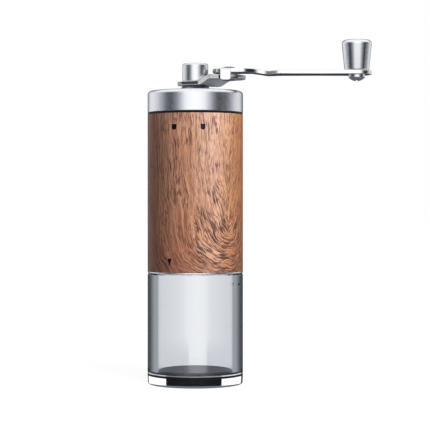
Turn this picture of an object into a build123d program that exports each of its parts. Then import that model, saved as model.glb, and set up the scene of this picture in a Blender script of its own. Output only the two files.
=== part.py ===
from build123d import *
import os
from math import acos, asin, atan2, cos, degrees, hypot, radians, sin

# A hand-cranked coffee mill: a clear jar below, a wood-sleeved mill with conical burrs
# above it, and a lid that carries a folding crank. Millimetres, +Z up. The origin is the
# centre of the base's underside, on the axis of the mill; the crank points along +X.

os.makedirs("parts", exist_ok=True)

STANDING = (Align.CENTER, Align.CENTER, Align.MIN)

# ------------------------------------------------------------------ fits
press_gap = 0.05            # round a piece that is pressed or glued into another
running_gap = 0.05          # round a shaft that turns in its bore
lift_gap = 0.3              # between parts that lift out of each other
rib_gap = 0.4               # above and below a thread rib

# ------------------------------------------------------------------ body rings
body_radius = 26.0
base_height = 5.2
base_edge_radius = 1.1
base_boss_radius = 15.0
base_boss_height = 1.2
seal_flange_height = 0.7
seal_spigot_height = 1.8
jar_height = 54.3
jar_wall = 5.6
jar_edge_bevel = 0.6
lip_height = 0.7
liner_wall = 1.0
sleeve_height = 85.4
sleeve_wall = 1.35
sleeve_edge_bevel = 0.2

# ------------------------------------------------------------------ jar thread
neck_height = 9.0
neck_wall = 1.3
thread_starts = 3
thread_lead = 12.0
rib_angle = 60.0
rib_depth = 0.7
rib_root = 0.3
jar_rib_height = 4.8        # from the jar's shoulder to the start of a rib
collar_inset = 0.3
jar_gasket_height = 1.2
jar_gasket_width = 1.7

# ------------------------------------------------------------------ burrs
clamp_ring_thickness = 1.6
clamp_ring_clearance = 1.0  # round the ring burr's lower mouth
clamp_screw_count = 3
clamp_screw_radius = 1.0
clamp_screw_head_radius = 1.5
clamp_screw_head_height = 0.8
clamp_screw_sink = 0.1
clamp_screw_length = 7.0
clamp_screw_slot = 0.5
ring_burr_wall = 3.7        # at its lower mouth
ring_burr_height = 13.0
ring_burr_taper = 2.4       # how much narrower the upper mouth is, on the radius
grind_gap = 0.4
burr_foot_height = 1.5
burr_drop = 0.5             # how far the inner burr hangs below the ring
burr_height = 19.5
burr_taper = 3.9            # from the foot to the shoulder, on the radius
burr_tip_wall = 1.1
ring_groove_count = 24
ring_groove_width = 1.0
foot_groove_count = 30
foot_groove_width = 0.8
groove_skew = 14.0
groove_roll = 45.0          # the grooves are cut with one corner down
flute_count = 5
flute_radius = 2.6
flute_offset = 0.87         # from the cone's shoulder out to the flute's axis
flute_skew = 24.0
core_radius = 5.0
core_flange_radius = 7.0
core_flange_height = 1.0
spring_pocket_depth = 3.0
spring_pocket_radius = 5.6
spring_coil_radius = 4.5
spring_wire_radius = 0.4
spring_turns = 4

# ------------------------------------------------------------------ burr carrier
carrier_wall = 3.5          # round the ring burr
carrier_rim_wall = 1.65     # round the funnel's mouth
shelf_thickness = 3.0
throat_step = 0.5           # how far the shelf stands back from the ring's mouth
funnel_height = 8.0
spoke_count = 3
spoke_width = 3.0
spoke_height = 6.0
hub_radius = 6.5
hub_height = 16.0
hub_overhang = 0.6
bush_sleeve_radius = 4.5
bush_sleeve_length = 5.0
bush_flange_radius = 6.0
bush_flange_thickness = 0.8
washer_thickness = 0.6
washer_radius = 5.5

# ------------------------------------------------------------------ shaft
shaft_radius = 3.0
shaft_overhang = 1.0        # how far the threaded end passes the adjusting nut
drive_flat_distance = 2.5
drive_flat_rise = 1.0
hex_across_flats = 5.0
hex_drop = 0.4              # from the crank sleeve down to the start of the hexagon
hex_edge_bevel = 0.4
clip_groove_depth = 0.5
shaft_clip_radius = 5.0
clip_thickness = 0.8
clip_opening = 2.0

# ------------------------------------------------------------------ grind adjuster
click_plate_thickness = 0.7
click_plate_radius = 10.4
click_count = 12
click_circle_radius = 8.0
click_hole_radius = 0.7
insert_radius = 5.0
insert_height = 8.3
nut_radius = 11.5
nut_top_gap = 0.4
nut_scallop_count = 12
nut_scallop_radius = 1.6
nut_scallop_bite = 0.7
detent_ball_radius = 1.0
detent_ball_gap = 0.05
detent_pocket_depth = 4.4
detent_wire_radius = 0.15
detent_spring_turns = 5

# ------------------------------------------------------------------ lid
lid_seal_height = 0.9
lid_seal_inset = 0.1
lid_height = 11.8
lid_wall = 1.0
lid_edge_radius = 2.0
plug_depth = 6.5            # how far the lid reaches down into the liner
plug_wall = 1.8
plug_web_thickness = 2.9
plug_boss_radius = 11.0
lid_bush_radius = 8.0
lid_bush_flange_radius = 9.6
lid_bush_flange_thickness = 1.0
lid_bush_length = 9.4
bush_proud = 0.1            # how far the bush stands above the lid

# ------------------------------------------------------------------ crank hub
sleeve_post_radius = 5.5
sleeve_post_tail = 0.8
sleeve_post_wall = 2.3
collar_height = 2.8
collar_foot_radius = 9.1
collar_top_radius = 6.8
collar_clip_radius = 7.4
plate_thickness = 2.2
plate_tail_reach = 9.8      # from the mill's axis, away from the arm
plate_tail_radius = 6.5
plate_rise = 3.4
plate_bend_skew = 30.0      # angle between the bend lines and the Y axis
plate_bend_start = 7.8      # from the mill's axis, square to the bend lines
plate_bend_run = 4.0
plate_bend_radius = 2.6     # of the underside
plate_end_radius = 9.2
shoulder_start = 1.5
shoulder_end = 13.2
shoulder_reach = 11.0
shoulder_corner_radius = 0.8
cap_radius = 7.07
cap_height = 9.9
cap_foot_radius = 6.6
cap_foot_height = 0.3
cap_edge_radius = 1.0
cap_spigot_radius = 4.5
cap_spigot_length = 4.4
cap_roof = 3.1              # metal above the hexagonal socket
hex_end_gap = 0.2

# ------------------------------------------------------------------ crank arm
pivot_reach = 18.4          # from the mill's axis to the fold pivot
pivot_washer_thickness = 1.3
pivot_washer_radius = 5.0
rivet_radius = 2.5
rivet_head_radius = 5.2
rivet_head_height = 1.5
rivet_foot_radius = 3.6
rivet_foot_height = 0.5
arm_thickness = 2.2
arm_joint_radius = 8.9
arm_near_length = 8.1       # straight near edge, from the fold pivot
arm_shoulder_length = 7.0
arm_neck_width = 9.0
arm_neck_length = 3.8
arm_flare_length = 7.7
arm_flare_width = 15.8
arm_blade_width = 14.0      # half-way along the blade
arm_corner_radius = 6.0
arm_drop = 0.8              # of the blade, below the joint
arm_dip = 0.45              # of the bend, below the blade
arm_bend_start = 13.1       # from the fold pivot
arm_drop_run = 8.3
arm_rise_run = 6.2
arm_bend_radius = 8.0
tab_gap = 0.2
stop_gap = 0.3
tab_width = 5.7
tab_drop = 6.4
tab_bend_radius = 2.0
tab_corner_radius = 1.6

# ------------------------------------------------------------------ grip knob
knob_reach = 88.1           # from the mill's axis to the knob's axis
arm_end_radius = 8.0
knob_foot_gap = 0.2
knob_height = 16.6
knob_foot_radius = 6.7
knob_top_radius = 8.4
knob_edge_radius = 2.0
knob_washer_radius = 4.5
knob_washer_height = 0.6
axle_radius = 2.5
axle_rise = 12.0            # above the arm
axle_end_gap = 1.0
axle_groove_depth = 0.4
snap_ring_rise = 9.2
snap_ring_radius = 3.2
snap_ring_thickness = 1.0
snap_ring_gap = 0.2
screw_head_radius = 4.5
screw_head_height = 3.5
screw_dome_height = 2.1
screw_slot_width = 1.25
screw_slot_depth = 0.8

# ------------------------------------------------------------------ widths that follow
rib_thickness = thread_lead / thread_starts / 2 - rib_gap
jar_bore_radius = body_radius - jar_wall
seal_spigot_radius = jar_bore_radius - press_gap
neck_radius = jar_bore_radius + neck_wall
jar_rib_radius = neck_radius + rib_depth
collar_bore_radius = jar_rib_radius + lift_gap
collar_rib_radius = collar_bore_radius - rib_depth
sleeve_bore_radius = body_radius - sleeve_wall
liner_radius = sleeve_bore_radius - press_gap
liner_bore_radius = liner_radius - liner_wall
insert_fit_radius = liner_bore_radius - press_gap
ring_burr_radius = insert_fit_radius - carrier_wall - press_gap
ring_burr_bore_radius = ring_burr_radius - ring_burr_wall
ring_burr_mouth_radius = ring_burr_bore_radius - ring_burr_taper
burr_foot_radius = ring_burr_bore_radius - grind_gap
burr_shoulder_radius = burr_foot_radius - burr_taper
burr_tip_radius = spring_pocket_radius + burr_tip_wall
clamp_circle_radius = (ring_burr_radius + insert_fit_radius) / 2 - press_gap
clamp_ring_bore_radius = ring_burr_bore_radius + clamp_ring_clearance
throat_radius = ring_burr_mouth_radius + throat_step
funnel_mouth_radius = insert_fit_radius - carrier_rim_wall
plug_radius = liner_bore_radius - lift_gap
lid_bore_radius = body_radius - lid_wall
shaft_bore_radius = shaft_radius + running_gap

# ------------------------------------------------------------------ heights that follow
jar_bottom = base_height + seal_flange_height
jar_shoulder = jar_bottom + jar_height
neck_top = jar_shoulder + neck_height
lip_bottom = jar_shoulder + lift_gap
sleeve_bottom = lip_bottom + lip_height
sleeve_top = sleeve_bottom + sleeve_height
clamp_bottom = neck_top + jar_gasket_height
burr_seat = clamp_bottom + clamp_ring_thickness
shelf_bottom = burr_seat + ring_burr_height
shelf_top = shelf_bottom + shelf_thickness
funnel_top = shelf_top + funnel_height
spoke_top = funnel_top + spoke_height
hub_bottom = funnel_top - hub_overhang
hub_top = hub_bottom + hub_height
lower_flange_bottom = hub_bottom - bush_flange_thickness
spring_top = lower_flange_bottom - washer_thickness
upper_flange_top = hub_top + bush_flange_thickness
shaft_clip_bottom = upper_flange_top + washer_thickness
burr_bottom = burr_seat - burr_drop
burr_top = burr_bottom + burr_height
spring_bottom = burr_top - spring_pocket_depth
click_plate_bottom = burr_bottom - click_plate_thickness
insert_bottom = click_plate_bottom - insert_height
nut_top = click_plate_bottom - nut_top_gap
shaft_bottom = insert_bottom - shaft_overhang
lid_bottom = sleeve_top + lid_seal_height
lid_top = lid_bottom + lid_height
collar_bottom = lid_top + bush_proud
lid_bush_bottom = collar_bottom - lid_bush_length
collar_clip_bottom = lid_bush_bottom - clip_thickness
sleeve_post_bottom = collar_clip_bottom - sleeve_post_tail
collar_top = collar_bottom + collar_height
cap_bottom = collar_top + plate_thickness
cap_top = cap_bottom + cap_height
socket_top = cap_top - cap_roof
plateau_bottom = collar_top + plate_rise
plateau_top = plateau_bottom + plate_thickness
arm_bottom = plateau_top + pivot_washer_thickness
arm_top = arm_bottom + arm_thickness
blade_bottom = arm_bottom - arm_drop
dip_bottom = blade_bottom - arm_dip
blade_top = blade_bottom + arm_thickness
knob_bottom = blade_top + knob_foot_gap
knob_top = knob_bottom + knob_height
axle_top = blade_top + axle_rise
snap_ring_bottom = blade_top + snap_ring_rise


# ------------------------------------------------------------------ shared shapes
def helical_rib(inner_radius, outer_radius, start_height):
    """One short rib of the quick thread, rising anticlockwise about the Z axis."""
    with BuildPart() as rib:
        with BuildLine():
            path = Helix(
                pitch=thread_lead,
                height=thread_lead * rib_angle / 360,
                radius=inner_radius,
                center=(0, 0, start_height),
            )
        with BuildSketch(Plane(origin=path @ 0, x_dir=(1, 0, 0), z_dir=path % 0)):
            Rectangle(
                outer_radius - inner_radius,
                rib_thickness,
                align=(Align.MIN, Align.CENTER),
            )
        sweep(is_frenet=True)
    return rib.part


def clip_face(inner_radius, outer_radius):
    """A flat retaining clip: a ring with an opening on its +X side."""
    with BuildSketch() as clip:
        Circle(outer_radius)
        Circle(inner_radius, mode=Mode.SUBTRACT)
        Rectangle(
            outer_radius,
            clip_opening,
            align=(Align.MIN, Align.CENTER),
            mode=Mode.SUBTRACT,
        )
    return clip.sketch


def bent_strip(underside, thickness, bend_radius):
    """A strip of bent plate seen from the side, given the points along its underside."""
    with BuildSketch() as strip:
        with BuildLine():
            FilletPolyline(*underside, radius=bend_radius)
            offset(amount=thickness, side=Side.LEFT)
        make_face()
    return strip.sketch


def dome_arc(rim_radius, tip_height, rim_height):
    """The arc of a shallow dome, from its tip on the axis out to its rim."""
    rise = tip_height - rim_height
    ball_radius = (rim_radius**2 + rise**2) / (2 * rise)
    half_angle = asin(rim_radius / ball_radius) / 2
    middle = (
        ball_radius * sin(half_angle),
        tip_height - ball_radius * (1 - cos(half_angle)),
    )
    return ThreePointArc((0, tip_height), middle, (rim_radius, rim_height))


def coil(coil_radius, wire_radius, bottom, top, turns):
    """A compression spring between two flat seats."""
    with BuildPart() as spring:
        with BuildLine():
            wire_line = Helix(
                pitch=(top - bottom - 2 * wire_radius) / turns,
                height=top - bottom - 2 * wire_radius,
                radius=coil_radius,
                center=(0, 0, bottom + wire_radius),
            )
        with BuildSketch(Plane(origin=wire_line @ 0, z_dir=wire_line % 0)):
            Circle(wire_radius)
        sweep(is_frenet=True)
    return spring.part


# ------------------------------------------------------------------ jar
# Polished steel base: a disc with a low boss that centres the seal.
with BuildPart() as base_cap:
    Cylinder(body_radius, base_height, align=STANDING)
    fillet(base_cap.edges().group_by(Axis.Z)[0], radius=base_edge_radius)
    with BuildSketch(Plane.XY.offset(base_height)):
        Circle(base_boss_radius)
    extrude(amount=base_boss_height)
base_cap.part.label = "base_cap"
export_step(base_cap.part, "parts/base_cap.step")

# Silicone seal: a flange under the jar's wall and a spigot that floors the chamber.
with BuildPart() as base_seal:
    with BuildSketch(Plane.XY.offset(base_height)):
        Circle(body_radius - lid_seal_inset)
    extrude(amount=seal_flange_height)
    with BuildSketch(Plane.XY.offset(jar_bottom)):
        Circle(seal_spigot_radius)
    extrude(amount=seal_spigot_height)
    with BuildSketch(Plane.XY.offset(base_height)):
        Circle(base_boss_radius + press_gap)
    extrude(amount=base_boss_height, mode=Mode.SUBTRACT)
base_seal.part.label = "base_seal"
export_step(base_seal.part, "parts/base_seal.step")

# Clear jar: a thick straight tube whose thin neck screws up into the mill.
jar_rib_start = jar_shoulder + jar_rib_height
jar_rib = helical_rib(neck_radius - rib_root, jar_rib_radius, jar_rib_start)
with BuildPart() as jar_tube:
    with BuildSketch(Plane.XZ):
        with BuildLine():
            Polyline(
                (jar_bore_radius, jar_bottom),
                (body_radius - jar_edge_bevel, jar_bottom),
                (body_radius, jar_bottom + jar_edge_bevel),
                (body_radius, jar_shoulder - jar_edge_bevel),
                (body_radius - jar_edge_bevel, jar_shoulder),
                (neck_radius, jar_shoulder),
                (neck_radius, neck_top),
                (jar_bore_radius, neck_top),
                close=True,
            )
        make_face()
    revolve(axis=Axis.Z)
    with PolarLocations(0, thread_starts):
        add(jar_rib)
jar_tube.part.label = "jar_tube"
export_step(jar_tube.part, "parts/jar_tube.step")

# Soft ring that the jar's neck is screwed up against.
with BuildPart() as jar_gasket:
    with BuildSketch(Plane.XY.offset(neck_top)):
        Circle(jar_bore_radius + press_gap + jar_gasket_width)
        Circle(jar_bore_radius + press_gap, mode=Mode.SUBTRACT)
    extrude(amount=jar_gasket_height)
jar_gasket.part.label = "jar_gasket"
export_step(jar_gasket.part, "parts/jar_gasket.step")

# ------------------------------------------------------------------ mill housing
# Steel liner: the tube that everything in the mill is pressed into, with a thin lip below.
with BuildPart() as liner_tube:
    with BuildSketch(Plane.XZ):
        with BuildLine():
            Polyline(
                (liner_bore_radius, lip_bottom),
                (body_radius, lip_bottom),
                (body_radius, sleeve_bottom),
                (liner_radius, sleeve_bottom),
                (liner_radius, sleeve_top),
                (liner_bore_radius, sleeve_top),
                close=True,
            )
        make_face()
    revolve(axis=Axis.Z)
liner_tube.part.label = "liner_tube"
export_step(liner_tube.part, "parts/liner_tube.step")

# Wooden sleeve, glued round the liner on top of its lip.
with BuildPart() as wood_sleeve:
    with BuildSketch(Plane.XY.offset(sleeve_bottom)):
        Circle(body_radius)
        Circle(sleeve_bore_radius, mode=Mode.SUBTRACT)
    extrude(amount=sleeve_height)
    outer_rims = wood_sleeve.edges().filter_by(GeomType.CIRCLE).sort_by(SortBy.RADIUS)[-2:]
    chamfer(outer_rims, length=sleeve_edge_bevel)
wood_sleeve.part.label = "wood_sleeve"
export_step(wood_sleeve.part, "parts/wood_sleeve.step")

# Collar with the ribs that the jar's ribs run between.
collar_bottom_edge = lip_bottom + collar_inset
collar_rib_start = jar_rib_start - thread_lead / thread_starts / 2
collar_rib = helical_rib(collar_rib_radius, collar_bore_radius + rib_root, collar_rib_start)
with BuildPart() as jar_collar:
    with BuildSketch(Plane.XY.offset(collar_bottom_edge)):
        Circle(insert_fit_radius)
        Circle(collar_bore_radius, mode=Mode.SUBTRACT)
    extrude(amount=clamp_bottom - collar_bottom_edge)
    with PolarLocations(0, thread_starts):
        add(collar_rib)
jar_collar.part.label = "jar_collar"
export_step(jar_collar.part, "parts/jar_collar.step")

# Burr carrier: the moulded frame that holds the ring burr and the two shaft bushes.
# Beans fall between its spokes, down the funnel and through the throat.
clamp_hole_depth = clamp_screw_length + clamp_screw_head_height + clamp_screw_sink
with BuildPart() as burr_carrier:
    with BuildSketch(Plane.XZ):
        with BuildLine():
            Polyline(
                (ring_burr_radius + press_gap, burr_seat),
                (insert_fit_radius, burr_seat),
                (insert_fit_radius, spoke_top),
                (funnel_mouth_radius, spoke_top),
                (funnel_mouth_radius, funnel_top),
                (throat_radius, shelf_top),
                (throat_radius, shelf_bottom),
                (ring_burr_radius + press_gap, shelf_bottom),
                close=True,
            )
        make_face()
    revolve(axis=Axis.Z)
    with BuildSketch(Plane.XY.offset(funnel_top)):
        with PolarLocations(0, spoke_count):
            Rectangle(
                (funnel_mouth_radius + insert_fit_radius) / 2,
                spoke_width,
                align=(Align.MIN, Align.CENTER),
            )
    extrude(amount=spoke_height)
    with BuildSketch(Plane.XY.offset(hub_bottom)):
        Circle(hub_radius)
    extrude(amount=hub_height)
    with BuildSketch(Plane.XY.offset(hub_bottom)):
        Circle(bush_sleeve_radius + press_gap)
    extrude(amount=hub_height, mode=Mode.SUBTRACT)
    with BuildSketch(Plane.XY.offset(clamp_bottom)):
        with PolarLocations(clamp_circle_radius, clamp_screw_count):
            Circle(clamp_screw_radius + press_gap)
    extrude(amount=clamp_hole_depth, mode=Mode.SUBTRACT)
burr_carrier.part.label = "burr_carrier"
export_step(burr_carrier.part, "parts/burr_carrier.step")

# Fixed outer burr: a hardened ring with skewed grooves down its conical bore.
ring_slope = atan2(ring_burr_bore_radius - ring_burr_mouth_radius, ring_burr_height)
ring_middle_radius = (ring_burr_bore_radius + ring_burr_mouth_radius) / 2
with BuildPart() as ring_burr:
    with BuildSketch(Plane.XZ):
        with BuildLine():
            Polyline(
                (ring_burr_bore_radius, burr_seat),
                (ring_burr_radius, burr_seat),
                (ring_burr_radius, shelf_bottom),
                (ring_burr_mouth_radius, shelf_bottom),
                close=True,
            )
        make_face()
    revolve(axis=Axis.Z)
    with Locations((0, 0, (burr_seat + shelf_bottom) / 2)):
        with PolarLocations(ring_middle_radius, ring_groove_count):
            Box(
                ring_groove_width,
                ring_groove_width,
                2 * ring_burr_height,
                rotation=(groove_skew, -degrees(ring_slope), groove_roll),
                mode=Mode.SUBTRACT,
            )
ring_burr.part.label = "ring_burr"
export_step(ring_burr.part, "parts/ring_burr.step")

# Flat ring that clamps the outer burr up against the shelf.
with BuildPart() as burr_clamp_ring:
    with BuildSketch(Plane.XY.offset(clamp_bottom)):
        Circle(insert_fit_radius)
        Circle(clamp_ring_bore_radius, mode=Mode.SUBTRACT)
        with PolarLocations(clamp_circle_radius, clamp_screw_count):
            Circle(clamp_screw_radius + press_gap, mode=Mode.SUBTRACT)
    extrude(amount=clamp_ring_thickness)
    with BuildSketch(Plane.XY.offset(clamp_bottom)):
        with PolarLocations(clamp_circle_radius, clamp_screw_count):
            Circle(clamp_screw_head_radius + press_gap)
    extrude(amount=clamp_screw_head_height + clamp_screw_sink, mode=Mode.SUBTRACT)
burr_clamp_ring.part.label = "burr_clamp_ring"
export_step(burr_clamp_ring.part, "parts/burr_clamp_ring.step")

# Slotted screws of the clamp ring, their heads sunk just below its face.
screw_head_bottom = clamp_bottom + clamp_screw_sink
with BuildPart() as clamp_screws:
    with BuildSketch(Plane.XY.offset(screw_head_bottom)):
        with PolarLocations(clamp_circle_radius, clamp_screw_count):
            Circle(clamp_screw_head_radius)
    extrude(amount=clamp_screw_head_height)
    with BuildSketch(Plane.XY.offset(screw_head_bottom + clamp_screw_head_height)):
        with PolarLocations(clamp_circle_radius, clamp_screw_count):
            Circle(clamp_screw_radius)
    extrude(amount=clamp_screw_length)
    with BuildSketch(Plane.XY.offset(screw_head_bottom)):
        with PolarLocations(clamp_circle_radius, clamp_screw_count):
            Rectangle(2 * clamp_screw_head_radius + clamp_screw_slot, clamp_screw_slot)
    extrude(amount=clamp_screw_head_height / 2, mode=Mode.SUBTRACT)
clamp_screws.part.label = "clamp_screws"
export_step(clamp_screws.part, "parts/clamp_screws.step")

# Sintered bushes at both ends of the carrier's hub, each with a flange outside it.
with BuildPart() as lower_bush:
    with BuildSketch(Plane.XY.offset(lower_flange_bottom)):
        Circle(bush_flange_radius)
    extrude(amount=bush_flange_thickness)
    with BuildSketch(Plane.XY.offset(hub_bottom)):
        Circle(bush_sleeve_radius)
    extrude(amount=bush_sleeve_length)
    with BuildSketch(Plane.XY.offset(lower_flange_bottom)):
        Circle(shaft_bore_radius)
    extrude(amount=bush_flange_thickness + bush_sleeve_length, mode=Mode.SUBTRACT)
lower_bush.part.label = "lower_bush"
export_step(lower_bush.part, "parts/lower_bush.step")

with BuildPart() as upper_bush:
    with BuildSketch(Plane.XY.offset(hub_top)):
        Circle(bush_flange_radius)
    extrude(amount=bush_flange_thickness)
    with BuildSketch(Plane.XY.offset(hub_top)):
        Circle(bush_sleeve_radius)
    extrude(amount=-bush_sleeve_length)
    with BuildSketch(Plane.XY.offset(upper_flange_top)):
        Circle(shaft_bore_radius)
    extrude(amount=-bush_flange_thickness - bush_sleeve_length, mode=Mode.SUBTRACT)
upper_bush.part.label = "upper_bush"
export_step(upper_bush.part, "parts/upper_bush.step")

# ------------------------------------------------------------------ shaft and inner burr
# Shaft: threaded end with two flats below, plain in the bushes, hexagonal in the crank.
shaft_top = socket_top - hex_end_gap
hex_bottom = sleeve_post_bottom - hex_drop
flats_top = burr_top + drive_flat_rise
with BuildPart() as main_shaft:
    with BuildSketch(Plane.XY.offset(shaft_bottom)):
        Circle(shaft_radius)
        Rectangle(2 * drive_flat_distance, 2 * shaft_radius, mode=Mode.INTERSECT)
    extrude(amount=flats_top - shaft_bottom)
    with BuildSketch(Plane.XY.offset(flats_top)):
        Circle(shaft_radius)
    extrude(amount=hex_bottom - flats_top)
    with BuildSketch(Plane.XY.offset(hex_bottom)):
        RegularPolygon(hex_across_flats / 2, 6, major_radius=False)
    extrude(amount=shaft_top - hex_bottom)
    chamfer(main_shaft.edges().group_by(Axis.Z)[-1], length=hex_edge_bevel)
    with BuildSketch(Plane.XY.offset(shaft_clip_bottom)):
        Circle(shaft_radius + clip_groove_depth)
        Circle(shaft_radius - clip_groove_depth, mode=Mode.SUBTRACT)
    extrude(amount=clip_thickness, mode=Mode.SUBTRACT)
main_shaft.part.label = "main_shaft"
export_step(main_shaft.part, "parts/main_shaft.step")

with BuildPart() as shaft_circlip:
    with BuildSketch(Plane.XY.offset(shaft_clip_bottom)):
        add(clip_face(shaft_radius - clip_groove_depth + press_gap, shaft_clip_radius))
    extrude(amount=clip_thickness)
shaft_circlip.part.label = "shaft_circlip"
export_step(shaft_circlip.part, "parts/shaft_circlip.step")

# Plain washers: one under the circlip, one between the spring and the lower bush.
with BuildPart() as shaft_washer:
    with BuildSketch(Plane.XY.offset(upper_flange_top)):
        Circle(washer_radius)
        Circle(shaft_bore_radius, mode=Mode.SUBTRACT)
    extrude(amount=washer_thickness)
shaft_washer.part.label = "shaft_washer"
export_step(shaft_washer.part, "parts/shaft_washer.step")

with BuildPart() as thrust_washer:
    with BuildSketch(Plane.XY.offset(spring_top)):
        Circle(washer_radius)
        Circle(shaft_bore_radius, mode=Mode.SUBTRACT)
    extrude(amount=washer_thickness)
thrust_washer.part.label = "thrust_washer"
export_step(thrust_washer.part, "parts/thrust_washer.step")

# Spring that presses the inner burr down on to the adjusting nut.
burr_coil = coil(
    spring_coil_radius, spring_wire_radius, spring_bottom, spring_top, spring_turns
)
with BuildPart() as burr_spring:
    add(burr_coil)
burr_spring.part.label = "burr_spring"
export_step(burr_spring.part, "parts/burr_spring.step")

# Inner burr: a steel cone with five coarse flutes above and a ring of fine teeth below.
cone_height = shelf_bottom - burr_bottom - burr_foot_height
cone_slope = atan2(burr_foot_radius - burr_shoulder_radius, cone_height)
cone_middle = burr_bottom + burr_foot_height + cone_height / 2
cone_middle_radius = (burr_foot_radius + burr_shoulder_radius) / 2
with BuildPart() as inner_burr:
    with BuildSketch(Plane.XZ):
        with BuildLine():
            Polyline(
                (core_flange_radius + press_gap, burr_bottom),
                (burr_foot_radius, burr_bottom),
                (burr_foot_radius, burr_bottom + burr_foot_height),
                (burr_shoulder_radius, shelf_bottom),
                (burr_tip_radius, burr_top),
                (spring_pocket_radius, burr_top),
                (spring_pocket_radius, spring_bottom),
                (core_radius + press_gap, spring_bottom),
                (core_radius + press_gap, burr_bottom + core_flange_height),
                (core_flange_radius + press_gap, burr_bottom + core_flange_height),
                close=True,
            )
        make_face()
    revolve(axis=Axis.Z)
    with Locations((0, 0, cone_middle)):
        with PolarLocations(cone_middle_radius, foot_groove_count):
            Box(
                foot_groove_width,
                foot_groove_width,
                2 * ring_burr_height,
                rotation=(-groove_skew, -degrees(cone_slope), groove_roll),
                mode=Mode.SUBTRACT,
            )
    with Locations((0, 0, shelf_bottom)):
        with PolarLocations(burr_shoulder_radius + flute_offset, flute_count):
            Cylinder(
                flute_radius,
                ring_burr_height,
                rotation=(-flute_skew, -degrees(cone_slope), 0),
                mode=Mode.SUBTRACT,
            )
inner_burr.part.label = "inner_burr"
export_step(inner_burr.part, "parts/inner_burr.step")

# Core that keys the inner burr to the shaft's two flats and lets it slide along them.
with BuildPart() as burr_core:
    with BuildSketch(Plane.XY.offset(burr_bottom)):
        Circle(core_flange_radius)
    extrude(amount=core_flange_height)
    with BuildSketch(Plane.XY.offset(burr_bottom)):
        Circle(core_radius)
    extrude(amount=spring_bottom - burr_bottom)
    with BuildSketch(Plane.XY.offset(burr_bottom)):
        Circle(shaft_bore_radius)
        Rectangle(
            2 * (drive_flat_distance + running_gap),
            2 * shaft_bore_radius,
            mode=Mode.INTERSECT,
        )
    extrude(amount=spring_bottom - burr_bottom, mode=Mode.SUBTRACT)
burr_core.part.label = "burr_core"
export_step(burr_core.part, "parts/burr_core.step")

# ------------------------------------------------------------------ grind adjuster
# Plate under the burr with the ring of holes that the detent ball clicks into.
with BuildPart() as click_plate:
    with BuildSketch(Plane.XY.offset(click_plate_bottom)):
        Circle(click_plate_radius)
        Circle(shaft_bore_radius + press_gap, mode=Mode.SUBTRACT)
        with PolarLocations(click_circle_radius, click_count):
            Circle(click_hole_radius, mode=Mode.SUBTRACT)
    extrude(amount=click_plate_thickness)
click_plate.part.label = "click_plate"
export_step(click_plate.part, "parts/click_plate.step")

# Threaded brass insert that runs on the shaft's threaded end.
with BuildPart() as adjuster_insert:
    with BuildSketch(Plane.XY.offset(insert_bottom)):
        RegularPolygon(insert_radius, 6, major_radius=False)
        Circle(shaft_bore_radius, mode=Mode.SUBTRACT)
    extrude(amount=insert_height)
adjuster_insert.part.label = "adjuster_insert"
export_step(adjuster_insert.part, "parts/adjuster_insert.step")

# Scalloped finger nut moulded round the insert, with a pocket for the detent.
detent_pocket_bottom = nut_top - detent_pocket_depth
detent_pocket_radius = detent_ball_radius + running_gap
with BuildPart() as adjuster_nut:
    with BuildSketch(Plane.XY.offset(insert_bottom)):
        Circle(nut_radius)
        RegularPolygon(insert_radius + press_gap, 6, major_radius=False, mode=Mode.SUBTRACT)
        with PolarLocations(nut_radius + nut_scallop_radius - nut_scallop_bite, nut_scallop_count):
            Circle(nut_scallop_radius, mode=Mode.SUBTRACT)
    extrude(amount=nut_top - insert_bottom)
    with BuildSketch(Plane.XY.offset(detent_pocket_bottom)):
        with Locations((click_circle_radius, 0)):
            Circle(detent_pocket_radius)
    extrude(amount=detent_pocket_depth, mode=Mode.SUBTRACT)
adjuster_nut.part.label = "adjuster_nut"
export_step(adjuster_nut.part, "parts/adjuster_nut.step")

# Detent ball, riding on the underside of the plate.
detent_ball_centre = click_plate_bottom - detent_ball_gap - detent_ball_radius
with BuildPart() as detent_ball:
    with Locations((click_circle_radius, 0, detent_ball_centre)):
        Sphere(detent_ball_radius)
detent_ball.part.label = "detent_ball"
export_step(detent_ball.part, "parts/detent_ball.step")

detent_coil = coil(
    detent_ball_radius - 2 * detent_wire_radius,
    detent_wire_radius,
    detent_pocket_bottom,
    detent_ball_centre - detent_ball_radius + detent_wire_radius,
    detent_spring_turns,
)
with BuildPart() as detent_spring:
    with Locations((click_circle_radius, 0, 0)):
        add(detent_coil)
detent_spring.part.label = "detent_spring"
export_step(detent_spring.part, "parts/detent_spring.step")

# ------------------------------------------------------------------ lid
# Brushed steel lid, drawn from sheet, with a hole for the crank's bush.
with BuildPart() as lid_shell:
    with BuildSketch(Plane.XZ):
        with BuildLine():
            Polyline(
                (lid_bore_radius, lid_bottom),
                (body_radius, lid_bottom),
                (body_radius, lid_top),
                (lid_bush_radius + press_gap, lid_top),
                (lid_bush_radius + press_gap, lid_top - lid_wall),
                (lid_bore_radius, lid_top - lid_wall),
                close=True,
            )
        make_face()
    revolve(axis=Axis.Z)
    top_rim = lid_shell.edges().group_by(Axis.Z)[-1].sort_by(SortBy.RADIUS)[-1]
    fillet(top_rim, radius=lid_edge_radius)
    roof_rims = lid_shell.edges().filter_by_position(
        Axis.Z, lid_top - lid_wall - press_gap, lid_top - lid_wall + press_gap
    )
    fillet(roof_rims.sort_by(SortBy.RADIUS)[-1], radius=lid_edge_radius - lid_wall)
lid_shell.part.label = "lid_shell"
export_step(lid_shell.part, "parts/lid_shell.step")

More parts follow.
